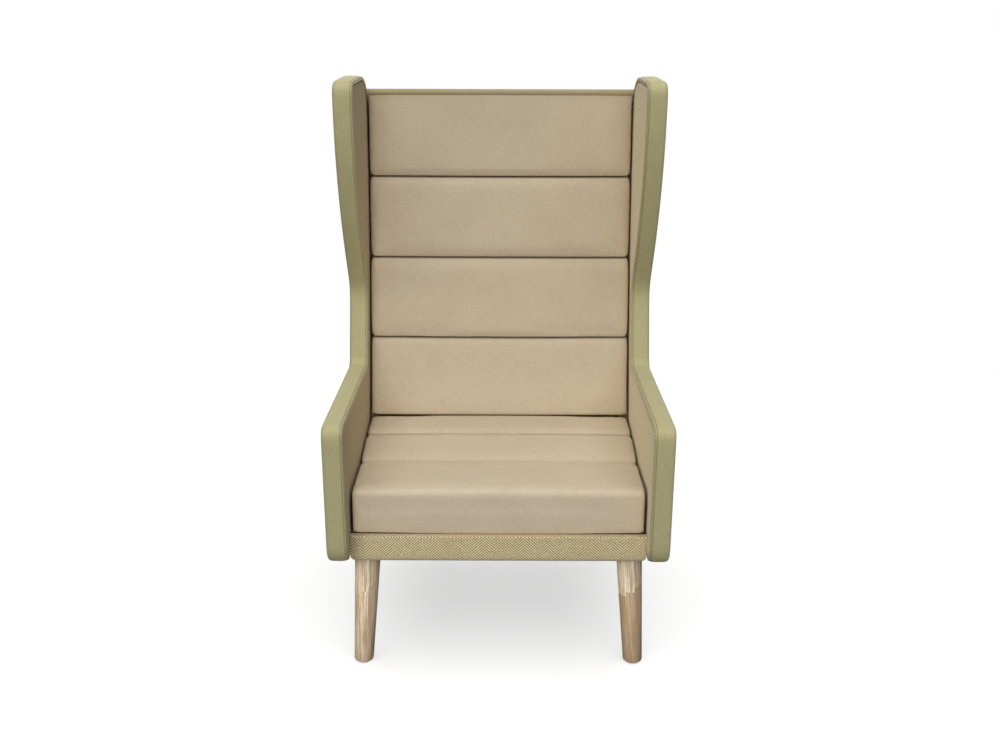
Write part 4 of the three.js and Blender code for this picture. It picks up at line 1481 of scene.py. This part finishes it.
def channelled(name, solid, axis, seams, prepare, rests, most, cloth, fabric):
    bm = cut_channels(solid, axis, seams, prepare)
    bmesh.ops.recalc_face_normals(bm, faces=bm.faces)
    mesh = bpy.data.meshes.new(name)
    bm.to_mesh(mesh)
    bm.free()
    stops = [-math.inf, *seams, math.inf]
    channels = [channel_of(centre, stops) for centre in island_centres(mesh, axis)]
    facings = [vert.normal.copy() for vert in mesh.vertices]
    starts = [vert.co - facing * start_shrink for vert, facing in zip(mesh.vertices, facings)]
    moved_by(mesh, starts)

    def held(vert):
        by_seam = min(abs(vert.co[axis] - seam) for seam in seams) < seam_hold
        return rests(vert) or by_seam and abs(vert.normal[axis]) > cap_facing

    moved = puffed(mesh, held)
    spots = []
    for start, ahead, facing, channel in zip(starts, moved, facings, channels):
        spot = start + limited(ahead - start, most)
        spot -= facing * seam_pull(spot, axis, seams)
        spot[axis] = min(max(spot[axis], stops[channel] + seam_gap), stops[channel + 1] - seam_gap)
        spot.x = min(max(spot.x, -side_limit), side_limit)
        spots.append(spot)
    moved_by(mesh, spots)
    piece = finish_piece(name, mesh, fabric, [solid], cloth=cloth)
    rounder = piece.modifiers.new("rounder", "SUBSURF")
    rounder.levels = rounding_levels
    rounder.render_levels = rounding_levels
    return piece


print("cushions stay", side_gap / mm, "mm clear of the panels beside them")

# %% [markdown]
# ## Back cushion
#
# Four channels, one above the other. The rear side is glued to its board, so it is held still.
# The cloth map runs up the leaning front: height on the cloth is height on the chair, a little
# longer for the lean. The end channels are fuller than the solid's, so the top is stretched up
# and the foot down before the cuts are made.

# %% Back cushion
cushion_rise = 1.8 * mm
back_lean_share = 1.04
end_reach = 30 * mm
top_rise = 13 * mm
foot_drop = 3 * mm
top_facing = 0.7
rest_facing = 0.5


def back_cloth(spot, facing):
    return spot.x, spot.z * back_lean_share - (spot.y if facing.z > top_facing else 0)


def prepare_back(bm):
    fill_grooves(bm, lambda vert: True, back_seams)
    low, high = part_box("back_cushion")
    for vert in bm.verts:
        vert.co.z += top_rise * within_reach(high[2] - vert.co.z, end_reach)
        vert.co.z -= foot_drop * within_reach(vert.co.z - low[2], end_reach)


channelled(
    "back_cushion_cover", "back_cushion", 2, back_seams, prepare_back,
    lambda vert: vert.normal.y > rest_facing, cushion_rise, back_cloth, back_cushion_cloth,
)

# %% [markdown]
# ## Seat cushion
#
# Three channels from rear to front, and the front one wraps down over the edge. It lies on foam,
# so its underside is held still. The solid has a round nose, while stuffed cloth over foam makes
# a squarer edge: points of the round nose are moved out along their own ray to a smaller circle
# in a square corner. Then the top is lifted by a table of places from front to rear, most at the
# nose, and the foot of the front face is pulled down to meet the rail.

# %% Sizes of the seat cover
face_foot = 9 * mm
face_reach = 60 * mm
face_drop = 6 * mm
nose_radius = 30 * mm
nose_edge = 14 * mm
nose_rise = 26 * mm
front_seam_rise = 3 * mm
rear_seam_rise = 8 * mm
tail_rise = 1 * mm
tail_start = 0.15
tail_end = 0.2
seat_low, seat_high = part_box("seat_cushion")
nose_front = round(seat_low[1], place_digits)
front_seam, rear_seam = seat_seams
seat_rises = (
    (nose_front, nose_rise), (nose_front + nose_radius, nose_rise), (front_seam, front_seam_rise),
    (rear_seam, rear_seam_rise), (tail_start, tail_rise), (tail_end, 0),
)
print("seat from", round(seat_low[1], 4), "to", round(seat_high[1], 4), "m")


# %% Seat cushion
def seat_cloth(spot, facing):
    return spot.x, spot.y - spot.z


def nose_stretch(ahead, up):
    inner = nose_radius - nose_edge
    if min(ahead, up) / max(ahead, up) * nose_radius <= inner:
        return 1 / max(ahead, up)
    middle = inner * (ahead + up)
    return (middle + math.sqrt(middle ** 2 - 2 * inner ** 2 + nose_edge ** 2)) / nose_radius


def square_nose(bm):
    centre_y, centre_z = seat_low[1] + nose_radius, seat_high[2] - nose_radius
    for vert in bm.verts:
        ahead, up = centre_y - vert.co.y, vert.co.z - centre_z
        size = math.hypot(ahead, up)
        if ahead > 0 and up > 0:
            stretch = nose_stretch(ahead / size, up / size)
            vert.co.y = centre_y - ahead * stretch
            vert.co.z = centre_z + up * stretch


def lift_top(bm):
    for vert in bm.verts:
        height_share = (vert.co.z - seat_low[2]) / (seat_high[2] - seat_low[2])
        vert.co.z += lerp_table(seat_rises, vert.co.y) * max(height_share, 0)


def prepare_seat(bm):
    square_nose(bm)
    lift_top(bm)
    face_low = [
        vert for vert in bm.verts
        if vert.co.z < seat_low[2] + face_foot and vert.co.y < seat_low[1] + face_reach
    ]
    fill_grooves(bm, lambda vert: vert in face_low, ())
    for vert in face_low:
        vert.co.z -= face_drop * within_reach(vert.co.z - seat_low[2], face_foot)


channelled(
    "seat_cushion_cover", "seat_cushion", 1, seat_seams, prepare_seat,
    lambda vert: vert.normal.z < -rest_facing, cushion_rise, seat_cloth, seat_cushion_cloth,
)

# %% [markdown]
# ## Legs
#
# Each leg is turned from a block of glued oak staves, tapers towards the floor and splays a
# little. We spin the taper upright, keep a copy of its straight coordinates for the wood grain,
# and then shear it to its splay, so grain and staves lean with the leg. Each leg is turned by
# another angle in its block, so no two show the same staves, and the lower boards are darker on
# some legs than on others.

# %% Measuring a leg
def leg_ends(name):
    bm = copied_solid(name)
    low = min(vert.co.z for vert in bm.verts)
    high = max(vert.co.z for vert in bm.verts)
    ends = []
    for height in (low, high):
        ring = [vert.co for vert in bm.verts if abs(vert.co.z - height) < weld_distance]
        wide = [min(spot.x for spot in ring), max(spot.x for spot in ring)]
        deep = [min(spot.y for spot in ring), max(spot.y for spot in ring)]
        ends.append((Vector((sum(wide) / 2, sum(deep) / 2, height)), (wide[1] - wide[0]) / 2))
    bm.free()
    return ends


for end_centre, end_round in leg_ends("leg_front_left"):
    print("leg radius", round(end_round / mm, 1), "mm at height", round(end_centre.z / mm), "mm")


# %% Legs
leg_segments = 64
foot_edge = 3 * mm
foot_edge_segments = 5
wood_turns = {"front_left": 0.2, "front_right": 0.1, "rear_left": 2.6, "rear_right": 4.1}
low_board_shares = {"front_left": 0.2, "front_right": 0.7, "rear_left": 0.4, "rear_right": 0.3}


def upright_taper(foot_radius, top_radius, rise):
    bm = bmesh.new()
    spots = [(0, 0), (foot_radius, 0), (top_radius, rise), (0, rise)]
    line = [bm.verts.new((radius, 0, height)) for radius, height in spots]
    for pair in zip(line, line[1:]):
        bm.edges.new(pair)
    bmesh.ops.bevel(
        bm, geom=[line[1]], offset=foot_edge, segments=foot_edge_segments, profile=0.5,
        affect="VERTICES", material=-1,
    )
    bmesh.ops.spin(
        bm, geom=bm.verts[:] + bm.edges[:], cent=(0, 0, 0), axis=(0, 0, 1), angle=full_turn,
        steps=leg_segments, use_merge=True,
    )
    bmesh.ops.remove_doubles(bm, verts=bm.verts, dist=weld_distance)
    bmesh.ops.recalc_face_normals(bm, faces=bm.faces)
    return bm


def turned_leg(corner):
    (foot, flat_radius), (top, top_radius) = leg_ends(f"leg_{corner}")
    rise = top.z - foot.z
    bm = upright_taper(flat_radius + foot_edge, top_radius, rise)
    straight = [vert.co.copy() for vert in bm.verts]
    lean = (top - foot) / rise
    for vert in bm.verts:
        vert.co += foot + Vector((lean.x * vert.co.z, lean.y * vert.co.z, 0))
    piece = finish_piece(f"turned_leg_{corner}", bm, leg_oak, [f"leg_{corner}"], cloth=None)
    layer = piece.data.attributes.new("wood", "FLOAT_VECTOR", "POINT")
    turn = Matrix.Rotation(wood_turns[corner], 3, "Z")
    for place, spot in enumerate(straight):
        layer.data[place].vector = turn @ spot
    tone_layer = piece.data.attributes.new("low_board_tone", "FLOAT", "POINT")
    tone_layer.data.foreach_set("value", [low_board_shares[corner]] * len(straight))


for corner in wood_turns:
    turned_leg(corner)

# %% [markdown]
# ## Hidden soft parts
#
# Foam, webbing and the cloth under the seat are out of sight, but the model is taken apart too,
# so each gets an honest softened edge and its own material. A copy of the solid is enough here:
# foam is cut from a block and webbing is a flat band, and only their sharp edges give way. The
# cloth under the seat is one sheet of lining, pulled tight and stapled to the four rails.

# %% Foam, webbing and dust cover
sharp_angle = math.radians(35)
foam_edge = 2 * mm
band_edge = 0.3 * mm
soft_edge_segments = 2


def softened(name, new_name, finish, radius):
    bm = copied_solid(name)
    sharp = [edge for edge in bm.edges if edge.is_manifold and edge.calc_face_angle() > sharp_angle]
    bmesh.ops.bevel(
        bm, geom=sharp, offset=radius, segments=soft_edge_segments, profile=0.5, affect="EDGES",
        material=-1, clamp_overlap=True,
    )
    bmesh.ops.remove_doubles(bm, verts=bm.verts, dist=weld_distance)
    bmesh.ops.recalc_face_normals(bm, faces=bm.faces)
    return finish_piece(new_name, bm, finish, [name])


seat_foam = softened("seat_foam", "seat_foam_block", foam_material, foam_edge)
back_foam = softened("back_foam", "back_foam_block", foam_material, foam_edge)
softened("seat_webbing", "webbing_bands", webbing_material, band_edge)
under_cloth = softened("dust_cover", "under_cloth", lining, band_edge)

# %% [markdown]
# ## Floor and background
#
# The chair stands on a plain white ground that runs into a white background and keeps only the
# soft shadow round the feet. For the camera the floor glows just enough to read as white where
# no shadow falls, and further out it is pure white. For all other light it is a darker grey, so
# that it throws little light back at the underside of the chair.

# %% Floor and background
floor_half = 30
glow_start = 0.9
glow_end = 2.2
floor_tone_share = 0.72
floor_bounce_share = 0.2
floor_glow_share = 0.62


def camera_ray(tree):
    return add_node(tree, "ShaderNodeLightPath").outputs["Is Camera Ray"]


def floor_surface(tree):
    reach = add_node(tree, "ShaderNodeVectorMath", {0: object_place(tree)}, operation="LENGTH")
    far_share = spread(tree, reach.outputs["Value"], glow_start, glow_end)
    seen = camera_ray(tree)
    grey = grey_of(tree, spread(tree, seen, 0, 1, floor_bounce_share, floor_tone_share))
    plain = add_node(tree, "ShaderNodeBsdfDiffuse", {"Color": grey})
    glow_strength = sum_of(tree, "MULTIPLY", seen, floor_glow_share)
    glow = add_node(tree, "ShaderNodeEmission", {"Strength": glow_strength})
    lit = add_node(tree, "ShaderNodeAddShader", {0: plain.outputs[0], 1: glow.outputs[0]})
    white = add_node(tree, "ShaderNodeEmission", {"Strength": 1.0})
    far_white = sum_of(tree, "MULTIPLY", far_share, seen)
    return add_node(tree, "ShaderNodeMixShader", {
        0: far_white, 1: lit.outputs[0], 2: white.outputs[0],
    }).outputs[0]


bm = bmesh.new()
bmesh.ops.create_grid(bm, x_segments=1, y_segments=1, size=floor_half)
floor_mesh = bpy.data.meshes.new("studio_floor")
bm.to_mesh(floor_mesh)
bm.free()
floor = bpy.data.objects.new("studio_floor", floor_mesh)
scene.collection.objects.link(floor)
floor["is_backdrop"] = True

floor_finish = bpy.data.materials.new("studio_floor")
floor_finish.use_nodes = True
floor_tree = floor_finish.node_tree
floor_tree.nodes.clear()
add_node(floor_tree, "ShaderNodeOutputMaterial", {"Surface": floor_surface(floor_tree)})
floor_mesh.materials.append(floor_finish)
print("floor", 2 * floor_half, "m wide, white from", glow_end, "m out")

# %% [markdown]
# ## World and lamps
#
# A studio lights upholstery softly, so every lamp is a large square one. The key comes from the
# front, a very large one hangs above, and a weak one high at the rear lights the top edges. One
# straight behind and one at each side face what a view from behind shows, and the other four
# are for chosen pieces only. The world itself gives only a little light, though the camera sees
# it as white.

# %% World and lamps
world_light = 0.15
world = bpy.data.worlds.new("studio")
world.use_nodes = True
scene.world = world
background = world.node_tree.nodes["Background"]
background.inputs["Color"].default_value = (1, 1, 1, 1)
world_strength = spread(world.node_tree, camera_ray(world.node_tree), 0, 1, world_light, 1)
fill_socket(world.node_tree, background.inputs["Strength"], world_strength)

lamp_aim = Vector((0, 0, 0.6))
lamp_distance = 7
lamps = {
    "front": {"azimuth": 0, "elevation": 12, "size": 3.6, "power": 150},
    "fill": {"azimuth": 0, "elevation": 12, "size": 3.6, "power": 72},
    "top": {"azimuth": 0, "elevation": 80, "size": 12, "power": 630},
    "shade": {"azimuth": 0, "elevation": 80, "size": 12, "power": 330},
    "side": {"azimuth": -66, "elevation": 16, "size": 2.0, "power": 200},
    "low": {"azimuth": -24, "elevation": 24, "size": 2.4, "power": 230},
    "rear": {"azimuth": 180, "elevation": 30, "size": 3.0, "power": 45},
    "behind": {"azimuth": 180, "elevation": 9, "size": 2.4, "power": 150},
    "left": {"azimuth": -90, "elevation": 15, "size": 3.6, "power": 150},
    "right": {"azimuth": 90, "elevation": 15, "size": 3.6, "power": 150},
}


def soft_lamp(name, azimuth, elevation, size, power):
    lamp = bpy.data.lights.new(name, "AREA")
    lamp.shape = "SQUARE"
    lamp.size = size
    lamp.energy = power
    holder = bpy.data.objects.new(name, lamp)
    turn_round = Matrix.Rotation(math.radians(azimuth), 3, "Z")
    turn_up = Matrix.Rotation(math.radians(-elevation), 3, "X")
    place = lamp_aim + turn_round @ turn_up @ Vector((0, -lamp_distance, 0))
    facing = (place - lamp_aim).to_track_quat("Z", "Y").to_matrix().to_4x4()
    holder.matrix_world = Matrix.Translation(place) @ facing
    scene.collection.objects.link(holder)
    return holder


holders = {name: soft_lamp(name, **facts) for name, facts in lamps.items()}
print("lamps:", ", ".join(lamps))

# %% [markdown]
# ## Which lamp lights which piece
#
# A photographer keeps light off some surfaces with black flags and throws it on others with
# reflectors. In Blender, light linking does that: a lamp's receiver collection says which pieces
# it lights, and its blocker collection which pieces may shade it. The left panel's inner face
# stays in shade: the front and top lamps leave it out, and a weaker top lamp of its own lights
# it. The right one's gets the side lamp, which passes the left panel as if that weren't there.
# The fill lamp adds to the seat, and the low one to the legs and the rail. The lamps that face
# the rear light only what is seen from there. The front and rear lamps leave out the floor, so
# the only shadow on it is the soft one from above.

# %% Light linking
lit_only = {
    "fill": "seat_cushion",
    "shade": "left_inner",
    "side": "right_inner",
    "low": ("turned_leg", "glide", "front_rail"),
    "behind": ("back_shell", "turned_leg_rear", "left_edge_band", "right_edge_band"),
    "left": ("left_outer", "turned_leg_rear_left"),
    "right": ("right_outer", "turned_leg_rear_right"),
}


def pieces_named(starts):
    return [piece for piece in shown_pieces() if piece.name.startswith(starts)]


def piece_group(name, members):
    group = bpy.data.collections.new(name)
    for member in members:
        group.objects.link(member)
    return group


def left_out_group(name, members):
    group = piece_group(name, members)
    for link in group.collection_objects:
        link.light_linking.link_state = "EXCLUDE"
    return group


left_inside = pieces_named("left_inner")
left_panel = pieces_named(("left_", "side_frame_left"))
for name, starts in lit_only.items():
    group = piece_group(f"lit_from_{name}", pieces_named(starts))
    holders[name].light_linking.receiver_collection = group
for name, members in {"front": [floor] + left_inside, "top": left_inside, "rear": [floor]}.items():
    group = left_out_group(f"not_lit_from_{name}", members)
    holders[name].light_linking.receiver_collection = group
holders["side"].light_linking.blocker_collection = left_out_group("lets_side_light_by", left_panel)
scene.view_settings.view_transform = "Standard"
print("lamps that light only some pieces:", ", ".join(lit_only))
